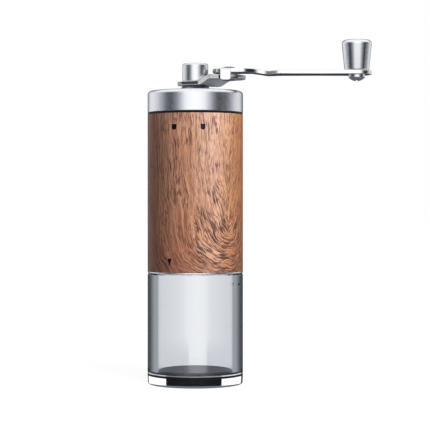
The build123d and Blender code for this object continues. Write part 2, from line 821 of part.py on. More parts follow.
# Moulded plug glued into the lid: its skirt centres the lid in the liner.
web_top = lid_top - lid_wall - press_gap
web_bottom = web_top - plug_web_thickness
boss_bottom = lid_bush_bottom + lid_bush_flange_thickness
with BuildPart() as lid_plug:
    with BuildSketch(Plane.XZ):
        with BuildLine():
            Polyline(
                (lid_bush_radius + press_gap, boss_bottom),
                (plug_boss_radius, boss_bottom),
                (plug_boss_radius, web_bottom),
                (plug_radius - plug_wall, web_bottom),
                (plug_radius - plug_wall, sleeve_top - plug_depth),
                (plug_radius, sleeve_top - plug_depth),
                (plug_radius, lid_bottom),
                (lid_bore_radius - press_gap, lid_bottom),
                (lid_bore_radius - press_gap, web_top - lid_edge_radius),
                (lid_bore_radius - press_gap - lid_edge_radius, web_top),
                (lid_bush_radius + press_gap, web_top),
                close=True,
            )
        make_face()
    revolve(axis=Axis.Z)
lid_plug.part.label = "lid_plug"
export_step(lid_plug.part, "parts/lid_plug.step")

# Black sealing ring that shows as a thin line between the lid and the wood.
with BuildPart() as lid_seal:
    with BuildSketch(Plane.XY.offset(sleeve_top)):
        Circle(body_radius - lid_seal_inset)
        Circle(plug_radius + press_gap, mode=Mode.SUBTRACT)
    extrude(amount=lid_seal_height)
lid_seal.part.label = "lid_seal"
export_step(lid_seal.part, "parts/lid_seal.step")

# Bush that the crank's sleeve turns in; its flange sits under the plug's boss.
with BuildPart() as lid_bush:
    with BuildSketch(Plane.XY.offset(lid_bush_bottom)):
        Circle(lid_bush_flange_radius)
    extrude(amount=lid_bush_flange_thickness)
    with BuildSketch(Plane.XY.offset(lid_bush_bottom)):
        Circle(lid_bush_radius)
    extrude(amount=lid_bush_length)
    with BuildSketch(Plane.XY.offset(lid_bush_bottom)):
        Circle(sleeve_post_radius + running_gap)
    extrude(amount=lid_bush_length, mode=Mode.SUBTRACT)
lid_bush.part.label = "lid_bush"
export_step(lid_bush.part, "parts/lid_bush.step")

# ------------------------------------------------------------------ crank hub
# Collar: a flared foot on the lid and a sleeve down through the bush.
collar_counterbore = cap_spigot_length - plate_thickness
with BuildPart() as hub_collar:
    with BuildSketch(Plane.XZ):
        with BuildLine():
            Polyline(
                (sleeve_post_radius - sleeve_post_wall, sleeve_post_bottom),
                (sleeve_post_radius, sleeve_post_bottom),
                (sleeve_post_radius, collar_clip_bottom),
                (sleeve_post_radius - clip_groove_depth, collar_clip_bottom),
                (sleeve_post_radius - clip_groove_depth, lid_bush_bottom),
                (sleeve_post_radius, lid_bush_bottom),
                (sleeve_post_radius, collar_bottom),
                (collar_foot_radius, collar_bottom),
                (collar_top_radius, collar_top),
                (cap_spigot_radius + press_gap, collar_top),
                (cap_spigot_radius + press_gap, collar_top - collar_counterbore),
                (sleeve_post_radius - sleeve_post_wall, collar_top - collar_counterbore),
                close=True,
            )
        make_face()
    revolve(axis=Axis.Z)
hub_collar.part.label = "hub_collar"
export_step(hub_collar.part, "parts/hub_collar.step")

with BuildPart() as collar_clip:
    with BuildSketch(Plane.XY.offset(collar_clip_bottom)):
        add(clip_face(sleeve_post_radius - clip_groove_depth + press_gap, collar_clip_radius))
    extrude(amount=clip_thickness)
collar_clip.part.label = "collar_clip"
export_step(collar_clip.part, "parts/collar_clip.step")

# Hub plate: pressed plate that steps up, on a skewed bend, to carry the fold pivot.
bend_cos = cos(radians(plate_bend_skew))
bend_sin = sin(radians(plate_bend_skew))
bend_plane = Plane(
    origin=(0, 0, 0),
    x_dir=(bend_cos, -bend_sin, 0),
    z_dir=(-bend_sin, -bend_cos, 0),
)
plate_span = pivot_reach + plate_end_radius + shoulder_reach
tail_middle = plate_tail_radius - plate_tail_reach
# The near edge leaves the round tail on a tangent and runs straight to the stop's shoulder.
tangent_run = shoulder_start - tail_middle
tangent_angle = atan2(-shoulder_reach, tangent_run) - acos(
    plate_tail_radius / hypot(tangent_run, shoulder_reach)
)
tangent_x = tail_middle + plate_tail_radius * cos(tangent_angle)
tangent_y = plate_tail_radius * sin(tangent_angle)
with BuildPart() as hub_plate:
    with BuildSketch(bend_plane):
        add(
            bent_strip(
                [
                    (-plate_span, collar_top),
                    (plate_bend_start, collar_top),
                    (plate_bend_start + plate_bend_run, plateau_bottom),
                    (plate_span, plateau_bottom),
                ],
                plate_thickness,
                plate_bend_radius,
            )
        )
    extrude(amount=plate_span, both=True)
    with BuildSketch(Plane.XY.offset(collar_top)):
        with Locations((tail_middle, 0)):
            Circle(plate_tail_radius)
        with Locations((pivot_reach, 0)):
            Circle(plate_end_radius)
        with BuildLine():
            Polyline(
                (tail_middle, plate_tail_radius),
                (tail_middle, 0),
                (tangent_x, tangent_y),
                (shoulder_start, -shoulder_reach),
                (shoulder_end, -shoulder_reach),
                (shoulder_end, 0),
                (pivot_reach, 0),
                (pivot_reach, plate_end_radius),
                close=True,
            )
        make_face()
    extrude(amount=plate_rise + plate_thickness, mode=Mode.INTERSECT)
    near_corner = [
        edge
        for edge in hub_plate.edges().filter_by(Axis.Z)
        if abs(edge.center().X - shoulder_end) < press_gap
        and abs(edge.center().Y + shoulder_reach) < press_gap
    ]
    fillet(near_corner, radius=shoulder_corner_radius)
    with BuildSketch(Plane.XY.offset(collar_top)):
        Circle(cap_spigot_radius + press_gap)
        with Locations((pivot_reach, 0)):
            Circle(rivet_radius + running_gap)
    extrude(amount=plate_rise + plate_thickness, mode=Mode.SUBTRACT)
hub_plate.part.label = "hub_plate"
export_step(hub_plate.part, "parts/hub_plate.step")

# Hub cap: the turned nut on top, whose hexagonal socket drives the shaft.
with BuildPart() as hub_cap:
    with BuildSketch(Plane.XY.offset(cap_bottom - cap_spigot_length)):
        Circle(cap_spigot_radius)
    extrude(amount=cap_spigot_length)
    with BuildSketch(Plane.XY.offset(cap_bottom)):
        Circle(cap_foot_radius)
    extrude(amount=cap_foot_height)
    with BuildSketch(Plane.XY.offset(cap_bottom + cap_foot_height)):
        Circle(cap_radius)
    extrude(amount=cap_height - cap_foot_height)
    fillet(hub_cap.edges().group_by(Axis.Z)[-1], radius=cap_edge_radius)
    with BuildSketch(Plane.XY.offset(cap_bottom - cap_spigot_length)):
        RegularPolygon(hex_across_flats / 2 + running_gap, 6, major_radius=False)
    extrude(amount=socket_top - cap_bottom + cap_spigot_length, mode=Mode.SUBTRACT)
hub_cap.part.label = "hub_cap"
export_step(hub_cap.part, "parts/hub_cap.step")

# ------------------------------------------------------------------ crank arm
# Arm: pressed plate with a round joint, a neck that clears the hub cap when folded, a long
# blade that dips below it, and a tab bent down at the near edge that meets the hub plate.
near_end = pivot_reach + arm_near_length
neck_start = near_end + arm_shoulder_length
neck_end = neck_start + arm_neck_length
flare_end = neck_end + arm_flare_length
blade_middle = (flare_end + knob_reach) / 2
bend_start = pivot_reach + arm_bend_start
dip_start = bend_start + arm_drop_run
blade_start = dip_start + arm_rise_run
tab_start = shoulder_end + stop_gap
tab_inner = plate_end_radius + tab_gap
tab_outer = tab_inner + arm_thickness
with BuildPart() as crank_arm:
    with BuildSketch(Plane.XZ):
        add(
            bent_strip(
                [
                    (pivot_reach - 2 * arm_joint_radius, arm_bottom),
                    (bend_start, arm_bottom),
                    (dip_start, dip_bottom),
                    (blade_start, blade_bottom),
                    (knob_reach + 2 * arm_end_radius, blade_bottom),
                ],
                arm_thickness,
                arm_bend_radius,
            )
        )
    extrude(amount=2 * arm_joint_radius, both=True)
    with BuildSketch(Plane.XY.offset(dip_bottom)):
        with Locations((pivot_reach, 0)):
            Circle(arm_joint_radius)
        with Locations((knob_reach, 0)):
            Circle(arm_end_radius)
        with BuildLine():
            FilletPolyline(
                (pivot_reach, -arm_joint_radius),
                (near_end, -arm_joint_radius),
                (neck_start, -arm_neck_width / 2),
                (neck_end, -arm_neck_width / 2),
                (flare_end, -arm_flare_width / 2),
                (blade_middle, -arm_blade_width / 2),
                (knob_reach, -arm_end_radius),
                radius=arm_corner_radius,
            )
            Line((knob_reach, -arm_end_radius), (knob_reach, arm_end_radius))
            FilletPolyline(
                (knob_reach, arm_end_radius),
                (blade_middle, arm_blade_width / 2),
                (flare_end, arm_flare_width / 2),
                (neck_end, arm_neck_width / 2),
                (pivot_reach, arm_neck_width / 2),
                radius=arm_corner_radius,
            )
            Line((pivot_reach, arm_neck_width / 2), (pivot_reach, -arm_joint_radius))
        make_face()
    extrude(amount=arm_top - dip_bottom, mode=Mode.INTERSECT)
    with BuildSketch(Plane.YZ.offset(tab_start)):
        with BuildLine():
            Polyline(
                (-arm_neck_width / 2, arm_top),
                (-tab_outer, arm_top),
                (-tab_outer, arm_top - tab_drop),
                (-tab_inner, arm_top - tab_drop),
                (-tab_inner, arm_bottom),
                (-arm_neck_width / 2, arm_bottom),
                close=True,
            )
        make_face()
    extrude(amount=tab_width)
    tab_bend = [
        edge
        for edge in crank_arm.edges().filter_by(Axis.X)
        if abs(edge.center().Y + tab_outer) < press_gap
        and abs(edge.center().Z - arm_top) < press_gap
    ]
    fillet(tab_bend, radius=tab_bend_radius)
    fillet(
        crank_arm.edges().filter_by(Axis.Y).group_by(Axis.Z)[0], radius=tab_corner_radius
    )
    with BuildSketch(Plane.XY.offset(dip_bottom)):
        with Locations((pivot_reach, 0)):
            Circle(rivet_radius + press_gap)
        with Locations((knob_reach, 0)):
            Circle(axle_radius + press_gap)
    extrude(amount=arm_top - dip_bottom, mode=Mode.SUBTRACT)
crank_arm.part.label = "crank_arm"
export_step(crank_arm.part, "parts/crank_arm.step")

# Spacer that keeps the arm off the hub plate.
with BuildPart() as pivot_washer:
    with BuildSketch(Plane.XY.offset(plateau_top)):
        with Locations((pivot_reach, 0)):
            Circle(pivot_washer_radius)
            Circle(rivet_radius + press_gap, mode=Mode.SUBTRACT)
    extrude(amount=pivot_washer_thickness)
pivot_washer.part.label = "pivot_washer"
export_step(pivot_washer.part, "parts/pivot_washer.step")

# Rivet of the fold: domed above the arm and peened flat under the hub plate.
rivet_foot_bottom = plateau_bottom - rivet_foot_height
with BuildPart() as pivot_rivet:
    with BuildSketch(Plane(origin=(pivot_reach, 0, 0), x_dir=(1, 0, 0), z_dir=(0, -1, 0))):
        with BuildLine():
            dome_arc(rivet_head_radius, arm_top + rivet_head_height, arm_top)
            Polyline(
                (rivet_head_radius, arm_top),
                (rivet_radius, arm_top),
                (rivet_radius, plateau_bottom),
                (rivet_foot_radius, plateau_bottom),
                (rivet_foot_radius, rivet_foot_bottom),
                (0, rivet_foot_bottom),
                (0, arm_top + rivet_head_height),
            )
        make_face()
    revolve(axis=Axis((pivot_reach, 0, 0), (0, 0, 1)))
pivot_rivet.part.label = "pivot_rivet"
export_step(pivot_rivet.part, "parts/pivot_rivet.step")

# ------------------------------------------------------------------ grip knob
# Shouldered screw: a slotted dome under the arm, and a long shank that is the knob's axle.
knob_plane = Plane(origin=(knob_reach, 0, 0), x_dir=(1, 0, 0), z_dir=(0, -1, 0))
knob_axis = Axis((knob_reach, 0, 0), (0, 0, 1))
screw_bottom = blade_bottom - screw_head_height
snap_ring_top = snap_ring_bottom + snap_ring_thickness
with BuildPart() as knob_screw:
    with BuildSketch(knob_plane):
        with BuildLine():
            dome_arc(screw_head_radius, screw_bottom, screw_bottom + screw_dome_height)
            Polyline(
                (screw_head_radius, screw_bottom + screw_dome_height),
                (screw_head_radius, blade_bottom),
                (axle_radius, blade_bottom),
                (axle_radius, snap_ring_bottom),
                (axle_radius - axle_groove_depth, snap_ring_bottom),
                (axle_radius - axle_groove_depth, snap_ring_top),
                (axle_radius, snap_ring_top),
                (axle_radius, axle_top),
                (0, axle_top),
                (0, screw_bottom),
            )
        make_face()
    revolve(axis=knob_axis)
    with BuildSketch(Plane.XY.offset(screw_bottom)):
        with Locations((knob_reach, 0)):
            Rectangle(screw_slot_width, 2 * screw_head_radius)
    extrude(amount=screw_slot_depth, mode=Mode.SUBTRACT)
knob_screw.part.label = "knob_screw"
export_step(knob_screw.part, "parts/knob_screw.step")

with BuildPart() as knob_snap_ring:
    with BuildSketch(Plane.XY.offset(snap_ring_bottom)):
        with Locations((knob_reach, 0)):
            add(clip_face(axle_radius - axle_groove_depth + press_gap, snap_ring_radius))
    extrude(amount=snap_ring_thickness)
knob_snap_ring.part.label = "knob_snap_ring"
export_step(knob_snap_ring.part, "parts/knob_snap_ring.step")

# Plastic washer between the arm and the knob.
with BuildPart() as knob_washer:
    with BuildSketch(Plane.XY.offset(blade_top)):
        with Locations((knob_reach, 0)):
            Circle(knob_washer_radius)
            Circle(axle_radius + press_gap, mode=Mode.SUBTRACT)
    extrude(amount=knob_washer_height)
knob_washer.part.label = "knob_washer"
export_step(knob_washer.part, "parts/knob_washer.step")

# Knob: turned metal, wider at the top, with a blind bore and a groove for the snap ring.
knob_bore_radius = axle_radius + running_gap
knob_washer_top = blade_top + knob_washer_height
knob_groove_radius = snap_ring_radius + snap_ring_gap
with BuildPart() as grip_knob:
    with BuildSketch(knob_plane) as knob_outline:
        with BuildLine():
            Polyline(
                (0, knob_top),
                (knob_top_radius, knob_top),
                (knob_foot_radius, knob_bottom),
                (knob_washer_radius + snap_ring_gap, knob_bottom),
                (knob_washer_radius + snap_ring_gap, knob_washer_top),
                (knob_bore_radius, knob_washer_top),
                (knob_bore_radius, snap_ring_bottom - snap_ring_gap),
                (knob_groove_radius, snap_ring_bottom - snap_ring_gap),
                (knob_groove_radius, snap_ring_top + snap_ring_gap),
                (knob_bore_radius, snap_ring_top + snap_ring_gap),
                (knob_bore_radius, axle_top + axle_end_gap),
                (0, axle_top + axle_end_gap),
                close=True,
            )
        make_face()
        top_corner = knob_outline.vertices().group_by(Axis.Y)[-1].sort_by(Axis.X)[-1]
        fillet(top_corner, radius=knob_edge_radius)
    revolve(axis=knob_axis)
grip_knob.part.label = "grip_knob"
export_step(grip_knob.part, "parts/grip_knob.step")
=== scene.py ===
from math import atan2, cos, degrees, pi, radians, sin, tan

import bmesh
import bpy
from mathutils import Matrix, Vector
from mathutils.geometry import tessellate_polygon


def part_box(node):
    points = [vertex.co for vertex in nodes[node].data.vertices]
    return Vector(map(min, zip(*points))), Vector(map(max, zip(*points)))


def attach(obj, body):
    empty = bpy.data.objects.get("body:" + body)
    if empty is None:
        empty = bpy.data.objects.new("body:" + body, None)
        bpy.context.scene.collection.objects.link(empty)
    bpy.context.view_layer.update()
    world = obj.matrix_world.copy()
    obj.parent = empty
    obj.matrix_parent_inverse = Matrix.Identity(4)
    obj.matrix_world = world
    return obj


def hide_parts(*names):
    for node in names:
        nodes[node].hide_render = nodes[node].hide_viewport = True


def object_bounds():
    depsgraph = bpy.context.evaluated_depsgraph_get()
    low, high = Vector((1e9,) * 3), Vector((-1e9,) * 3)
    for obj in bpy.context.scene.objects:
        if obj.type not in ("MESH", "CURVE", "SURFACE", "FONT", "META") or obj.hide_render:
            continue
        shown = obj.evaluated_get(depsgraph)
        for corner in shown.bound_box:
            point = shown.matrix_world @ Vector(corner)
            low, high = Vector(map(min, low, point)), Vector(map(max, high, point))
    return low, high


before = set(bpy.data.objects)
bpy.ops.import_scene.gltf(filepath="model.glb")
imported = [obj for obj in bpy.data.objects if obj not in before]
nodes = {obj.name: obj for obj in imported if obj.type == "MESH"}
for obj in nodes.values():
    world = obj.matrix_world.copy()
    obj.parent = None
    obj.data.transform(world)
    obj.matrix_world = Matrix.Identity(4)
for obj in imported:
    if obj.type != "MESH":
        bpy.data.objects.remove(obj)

cad_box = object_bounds()

# ---------------------------------------------------------------- base cap
# The disc that the mill stands on: solid steel, turned and then polished like a mirror.
# Its wall leans in a little towards the table, and a low boss on top centres the seal.
def softened(corners):
    """Outline points, with each corner rounded to the radius that is given with it."""
    outline = []
    for i, (radius, height, ease) in enumerate(corners):
        corner = Vector((radius, height))
        if not ease:
            outline.append(corner)
            continue
        back = (Vector(corners[i - 1][:2]) - corner).normalized()
        ahead = (Vector(corners[(i + 1) % len(corners)][:2]) - corner).normalized()
        half = back.angle(ahead) / 2
        centre = corner + (back + ahead).normalized() * (ease / sin(half))
        arm = corner + back * (ease / tan(half)) - centre
        last = corner + ahead * (ease / tan(half)) - centre
        turn = atan2(arm.cross(last), arm.dot(last))
        cuts = max(2, round(abs(degrees(turn)) / 15))
        for k in range(cuts + 1):
            outline.append(centre + Matrix.Rotation(turn * k / cuts, 2) @ arm)
    return outline


crease = radians(32)


def placed(name, mesh, sharpest=None):
    """Puts a mesh in the scene, smooth wherever it turns less sharply than the angle given."""
    if sharpest:
        mesh.shade_smooth()
        mesh.set_sharp_from_angle(angle=sharpest)
    piece = bpy.data.objects.new(name, mesh)
    bpy.context.scene.collection.objects.link(piece)
    return piece


shortest_held = 0.0015
held_inset = 0.0003


def turned(name, outline, middle=0.0, steps=192, swell=None):
    """A piece made on the lathe: an outline of radius and height, spun about an upright
    axis that crosses the X axis at middle. An outline that starts and ends on the axis
    makes a solid, and any other one closes on itself and makes a ring. Each straight run
    is held by a point close to either end, so that it stays flat beside a rounded one."""
    spots, rings, faces = [], [], []
    solid = outline[0][0] < 1e-7
    held = []
    for here, there in zip(outline, outline[1:] if solid else [*outline[1:], outline[0]]):
        held.append(Vector(here))
        run = Vector(there) - held[-1]
        if run.length > shortest_held:
            inset = run.normalized() * held_inset
            held += [held[-1] + inset, held[-1] + run - inset]
    for radius, height in held + [outline[-1]] * solid:
        if radius < 1e-7:
            rings.append([len(spots)] * steps)
            spots.append((middle, 0, height))
            continue
        rings.append(list(range(len(spots), len(spots) + steps)))
        for k in range(steps):
            angle = 2 * pi * k / steps
            reach = radius + (swell(radius, height, angle) if swell else 0)
            spots.append((middle + reach * cos(angle), reach * sin(angle), height))
    for below, above in zip(rings, rings[1:] if solid else rings[1:] + rings[:1]):
        for k in range(steps):
            around = (k + 1) % steps
            face = [below[k], below[around], above[around], above[k]]
            faces.append([v for n, v in enumerate(face) if v not in face[:n]])
    mesh = bpy.data.meshes.new(name)
    mesh.from_pydata(spots, [], [f for f in faces if len(f) > 2])
    return placed(name, mesh, crease)


def new_finish(name, **looks):
    """A material whose shader holds the looks that are the same all over the piece."""
    material = bpy.data.materials.new(name)
    material.use_nodes = True
    shader = material.node_tree.nodes["Principled BSDF"]
    for socket, value in looks.items():
        shader.inputs[socket.replace("_", " ").title().replace("Ior", "IOR")].default_value = value
    return material, material.node_tree, shader


def put(tree, kind, sockets=None, **settings):
    """One shader node, with its settings, and its sockets set to a value or linked."""
    made = tree.nodes.new("ShaderNode" + kind)
    for setting, value in settings.items():
        setattr(made, setting, value)
    for socket, value in (sockets or {}).items():
        if isinstance(value, bpy.types.NodeSocket):
            tree.links.new(value, made.inputs[socket])
        else:
            made.inputs[socket].default_value = value
    return made


def calc(tree, operation, *terms):
    """One sum on the numbers or sockets given."""
    return put(tree, "Math", dict(enumerate(terms)), operation=operation).outputs[0]


def spread(tree, value, low, high, to_low, to_high):
    """A value from low to high, stretched to run from to_low to to_high and held there."""
    sockets = dict(zip(("Value", "From Min", "From Max", "To Min", "To Max"),
                       (value, low, high, to_low, to_high)))
    return put(tree, "MapRange", sockets).outputs[0]


def roughened(shader, pattern, at_low, at_high):
    """Makes a piece rougher or smoother as the pattern goes from low to high."""
    rough = spread(shader.id_data, pattern, 0.3, 0.7, at_low, at_high)
    shader.id_data.links.new(rough, shader.inputs["Roughness"])


def embossed(shader, pattern, strength, depth):
    """Raises a fine relief on a piece where the pattern is high."""
    sockets = {"Height": pattern, "Strength": strength, "Distance": depth}
    relief = put(shader.id_data, "Bump", sockets)
    shader.id_data.links.new(relief.outputs[0], shader.inputs["Normal"])
    return relief


def lathe_lines(tree, middle, along, across):
    """Where a point lies on a turned piece, for a grain that runs round its axis."""
    spot = put(tree, "TexCoord").outputs["Object"]
    spot = put(tree, "VectorMath", {0: spot, 1: (-middle, 0, 0)}, operation="ADD").outputs[0]
    parts = put(tree, "SeparateXYZ", {0: spot}).outputs
    flat = put(tree, "CombineXYZ", {0: parts[0], 1: parts[1]}).outputs[0]
    reach = put(tree, "VectorMath", {0: flat}, operation="LENGTH").outputs["Value"]
    round_it = put(tree, "VectorMath", {0: flat}, operation="NORMALIZE").outputs[0]
    round_it = put(tree, "VectorMath", {0: round_it, "Scale": along}, operation="SCALE").outputs[0]
    step = calc(tree, "MULTIPLY", calc(tree, "ADD", parts[2], reach), across)
    rise = put(tree, "CombineXYZ", {2: step}).outputs[0]
    return put(tree, "VectorMath", {0: round_it, 1: rise}, operation="ADD").outputs[0]


def streaks(tree, where, detail=3.0, rough=0.6):
    """Noise from 0 to 1, drawn out as far as the place it is given is drawn out."""
    sockets = {"Vector": where, "Scale": 1.0, "Detail": detail, "Roughness": rough}
    return put(tree, "TexNoise", sockets).outputs["Fac"]


def hang(piece, material, body, slot, *stands_for):
    """Gives a piece its finish, and its place among the moving bodies."""
    piece.data.materials.append(material)
    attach(piece, body)
    if stands_for:
        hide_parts(*stands_for)
    return piece


low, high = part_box("base_cap")
base_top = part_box("base_seal")[0].z
base_radius = high.x
base_lean = 0.00023
base_ease = 0.0011
step_depth = 0.0003
step_bottom = base_top - 0.00038
boss_radius = 0.015
base_cap = turned("base_cap_polished", softened([
    (0, low.z, 0),
    (base_radius - base_lean, low.z, base_ease),
    (base_radius, step_bottom, 0),
    (base_radius - step_depth, step_bottom, 0),
    (base_radius - step_depth, base_top, 0),
    (boss_radius, base_top, 0),
    (boss_radius, high.z, 0.0003),
    (0, high.z, 0),
]), steps=256)
polished_steel, tree, shader = new_finish(
    "polished_steel", base_color=(0.72, 0.725, 0.735, 1), metallic=1.0)
polish = streaks(tree, lathe_lines(tree, 0, 9, 9000))
roughened(shader, polish, 0.03, 0.075)
embossed(shader, polish, 0.05, 0.00001)
hang(base_cap, polished_steel, "jar", "polished_steel", "base_cap")

# ---------------------------------------------------------------- base seal
# A black silicone disc, pressed up into the jar's bore. Its thin flange shows as the dark
# line under the jar, and its spigot is the floor that the ground coffee falls on.
def plain_grain(tree, scale, detail=4.0):
    """Noise that runs the same in every direction; scale is its pitch per metre."""
    spot = put(tree, "TexCoord").outputs["Object"]
    return put(tree, "TexNoise", {"Vector": spot, "Scale": scale, "Detail": detail}).outputs["Fac"]


def tones(tree, value, *stops):
    """A colour for each value from 0 to 1."""
    ramp = put(tree, "ValToRGB", {"Fac": value})
    elements = ramp.color_ramp.elements
    elements.remove(elements[1])
    elements[0].position = stops[0][0]
    elements[0].color = (*stops[0][1], 1)
    for place, colour in stops[1:]:
        elements.new(place).color = (*colour, 1)
    return ramp.outputs[0]


def shaded(shader, pattern, darkest, lightest, edge=0.0):
    """Colours a piece between two shades, as the pattern goes from edge to 1 - edge."""
    shade = tones(shader.id_data, pattern, (edge, darkest), (1 - edge, lightest))
    shader.id_data.links.new(shade, shader.inputs["Base Color"])


low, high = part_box("base_seal")
seal_radius = high.x
spigot_radius = 0.02035
flange_top = low.z + 0.00062
boss_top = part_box("base_cap")[1].z
boss_gap = 0.00005
spigot_top = high.z - 0.00005
floor_top = high.z + 0.00025
floor_radius = spigot_radius - 0.00015
base_seal = turned("base_seal_moulded", softened([
    (0, boss_top, 0),
    (boss_radius + boss_gap, boss_top, 0),
    (boss_radius + boss_gap, low.z, 0),
    (seal_radius, low.z, 0.0002),
    (seal_radius, flange_top, 0.0002),
    (spigot_radius, flange_top, 0),
    (spigot_radius, spigot_top, 0.0001),
    (0, spigot_top, 0),
]))
black_silicone, tree, shader = new_finish(
    "black_silicone", specular_ior_level=0.3, specular_tint=(0.12, 0.12, 0.13, 1))
skin = plain_grain(tree, 2600.0)
shaded(shader, skin, (0.008, 0.008, 0.009), (0.02, 0.02, 0.022))
roughened(shader, skin, 0.5, 0.7)
embossed(shader, skin, 0.2, 0.00003)
hang(base_seal, black_silicone, "jar", "black_silicone", "base_seal")

# Its skirt hangs down into the step that is turned in the base cap's rim.
skirt_outside = base_radius - 0.00004
skirt_inside = base_radius - step_depth - 0.00002
skirt_bottom = step_bottom - 0.00002
skirt_top = base_top - 0.00001
seal_skirt = turned("base_seal_skirt", softened([
    (skirt_inside, skirt_bottom, 0),
    (skirt_outside, skirt_bottom, 0),
    (skirt_outside, skirt_top, 0),
    (skirt_inside, skirt_top, 0),
]), steps=256)
hang(seal_skirt, black_silicone, "jar", "black_silicone")

# The chamber's floor is moulded against a polished face, and comes out glossier.
floor_bottom = high.z - 0.0002
chamber_floor = turned("chamber_floor", softened([
    (0, floor_bottom, 0),
    (floor_radius, floor_bottom, 0),
    (floor_radius, floor_top, 0.00005),
    (0, floor_top, 0),
]))
glossy_silicone, tree, shader = new_finish(
    "glossy_silicone", base_color=(0.012, 0.012, 0.014, 1), specular_ior_level=0.5)
skin = plain_grain(tree, 900.0, 3.0)
roughened(shader, skin, 0.14, 0.22)
embossed(shader, skin, 0.03, 0.00002)
hang(chamber_floor, glossy_silicone, "jar", "black_silicone")

# The spigot's wall, where it is pushed up the jar's bore, is painted a light grey: a painted
# sheen that stands in for the light it catches through the jar.
wall_inside = spigot_radius - 0.0001
wall_outside = spigot_radius + 0.00003
wall_top = floor_top - 0.00002
spigot_wall = turned("base_seal_wall", softened([
    (wall_inside, flange_top, 0),
    (wall_outside, flange_top, 0),
    (wall_outside, wall_top, 0),
    (wall_inside, wall_top, 0),
]))
sheen_painted_silicone, tree, shader = new_finish("sheen_painted_silicone", specular_ior_level=0.2)
sheen_streaks = streaks(tree, lathe_lines(tree, 0, 60, 3000))
shaded(shader, sheen_streaks, (0.19, 0.193, 0.203), (0.27, 0.274, 0.288))
hang(spigot_wall, sheen_painted_silicone, "jar", "black_silicone")

# ---------------------------------------------------------------- jar
# A thick clear acrylic tube for the ground coffee. Its neck is turned thinner and carries
# three short thread ribs, and both ends of the wide part are chamfered and polished.
low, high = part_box("jar_tube")
jar_radius = high.x
jar_bore = 0.0204
jar_bottom = low.z + 0.00003
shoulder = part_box("liner_tube")[0].z - 0.0003
chamfer = 0.0006
neck_radius = 0.0217
rib_depth = 0.0007
rib_half = 0.0008
rib_flank = 0.0003
rib_runout = 0.0006
rib_start = shoulder + 0.0048
rib_sweep = radians(60)
thread_lead = 0.012


def thread_ribs(radius, height, angle):
    """How far the neck stands out at a point on one of its three ribs."""
    if abs(radius - neck_radius) > 1e-6:
        return 0
    along = angle % (2 * pi / 3)
    off = abs(height - rib_start - thread_lead * along / (2 * pi))
    end = min(along, rib_sweep - along) * neck_radius
    share = min((rib_half - off) / rib_flank, end / rib_runout, 1)
    return rib_depth * max(share, 0)


neck_start = shoulder + 0.0035
neck_rows = [(neck_radius, neck_start + 0.0001 * k, 0) for k in range(47)]
jar = turned("jar_clear", softened([
    (jar_bore, jar_bottom, 0.0002),
    (jar_radius - chamfer, jar_bottom, 0.0001),
    (jar_radius, jar_bottom + chamfer, 0.0001),
    (jar_radius, shoulder - chamfer, 0.0001),
    (jar_radius - chamfer, shoulder, 0.0001),
    (neck_radius, shoulder, 0.0003),
    *neck_rows,
    (neck_radius, high.z, 0.0003),
    (jar_bore, high.z, 0.0003),
]), steps=288, swell=thread_ribs)
clear_acrylic, tree, shader = new_finish(
    "clear_acrylic", base_color=(0.985, 0.99, 0.995, 1), roughness=0.0,
    transmission_weight=1.0, ior=1.49)
hang(jar, clear_acrylic, "jar", "clear_acrylic", "jar_tube")

# The foot's edge is ground true after the chamfer is cut. The thin pale line it shows is a
# painted highlight: an opaque pale band stands in for the light that the chamfer catches.
edge_inside = jar_radius - 0.0002
edge_bottom = jar_bottom + 0.0001
edge_top = jar_bottom + 0.0007
foot_edge = turned("jar_foot_edge", softened([
    (edge_inside, edge_bottom, 0),
    (jar_radius - 0.00006, edge_bottom, 0),
    (jar_radius - 0.00003, edge_top, 0),
    (edge_inside, edge_top, 0),
]), steps=256)
foot_highlight, tree, shader = new_finish("foot_highlight", metallic=0.5)
highlight_streaks = streaks(tree, lathe_lines(tree, 0, 40, 4000))
shaded(shader, highlight_streaks, (0.58, 0.59, 0.61), (0.7, 0.71, 0.72))
roughened(shader, highlight_streaks, 0.08, 0.14)
hang(foot_edge, foot_highlight, "jar", "clear_acrylic")

# The gasket is a soft black ring that the jar's neck is screwed up against, so that no
# coffee gets out. It stays in the mill when the jar comes off.
low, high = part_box("jar_gasket")
gasket_bore = 0.02045
jar_gasket = turned("jar_gasket_moulded", softened([
    (gasket_bore, low.z, 0.0002),
    (high.x, low.z, 0.0003),
    (high.x, high.z, 0.0003),
    (gasket_bore, high.z, 0.0002),
]))
hang(jar_gasket, black_silicone, "neck_ring", "black_silicone", "jar_gasket")

# ---------------------------------------------------------------- liner
# The steel tube that everything in the mill is pressed into. It is rolled out at the
# bottom to a thin bright lip, which the wood stands on.
low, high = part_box("liner_tube")
liner_radius = 0.0246
liner_bore = 0.0236
lip_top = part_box("wood_sleeve")[0].z
liner = turned("liner_tube_drawn", softened([
    (liner_bore, low.z, 0.0002),
    (high.x, low.z, 0.00015),
    (high.x, lip_top, 0.00015),
    (liner_radius, lip_top, 0),
    (liner_radius, high.z, 0.0002),
    (liner_bore, high.z, 0.0002),
]), steps=256)
liner_steel, tree, shader = new_finish(
    "liner_steel", base_color=(0.66, 0.67, 0.69, 1), metallic=1.0)
draw_lines = streaks(tree, lathe_lines(tree, 0, 6, 5000))
roughened(shader, draw_lines, 0.1, 0.2)
embossed(shader, draw_lines, 0.1, 0.00002)
hang(liner, liner_steel, "housing", "liner_steel", "liner_tube")

# ---------------------------------------------------------------- wooden sleeve
# A thin walnut tube, sanded, oiled and glued round the liner. The grain runs up the tube,
# leans on the way, and folds round a small knot low down on the right. Its top rim is cut
# across the grain, and a band just under it is painted nearly black: a painted shadow
# where the lid's edge shades the wood.
low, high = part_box("wood_sleeve")
wood_radius = high.x
wood_bore = 0.02465
sleeve = turned("wood_sleeve_oiled", softened([
    (wood_bore, low.z, 0.0001),
    (wood_radius, low.z, 0.0002),
    (wood_radius, high.z, 0.0002),
    (wood_bore, high.z, 0.0001),
]), steps=256)
walnut, tree, shader = new_finish("walnut_wood", specular_ior_level=0.24)

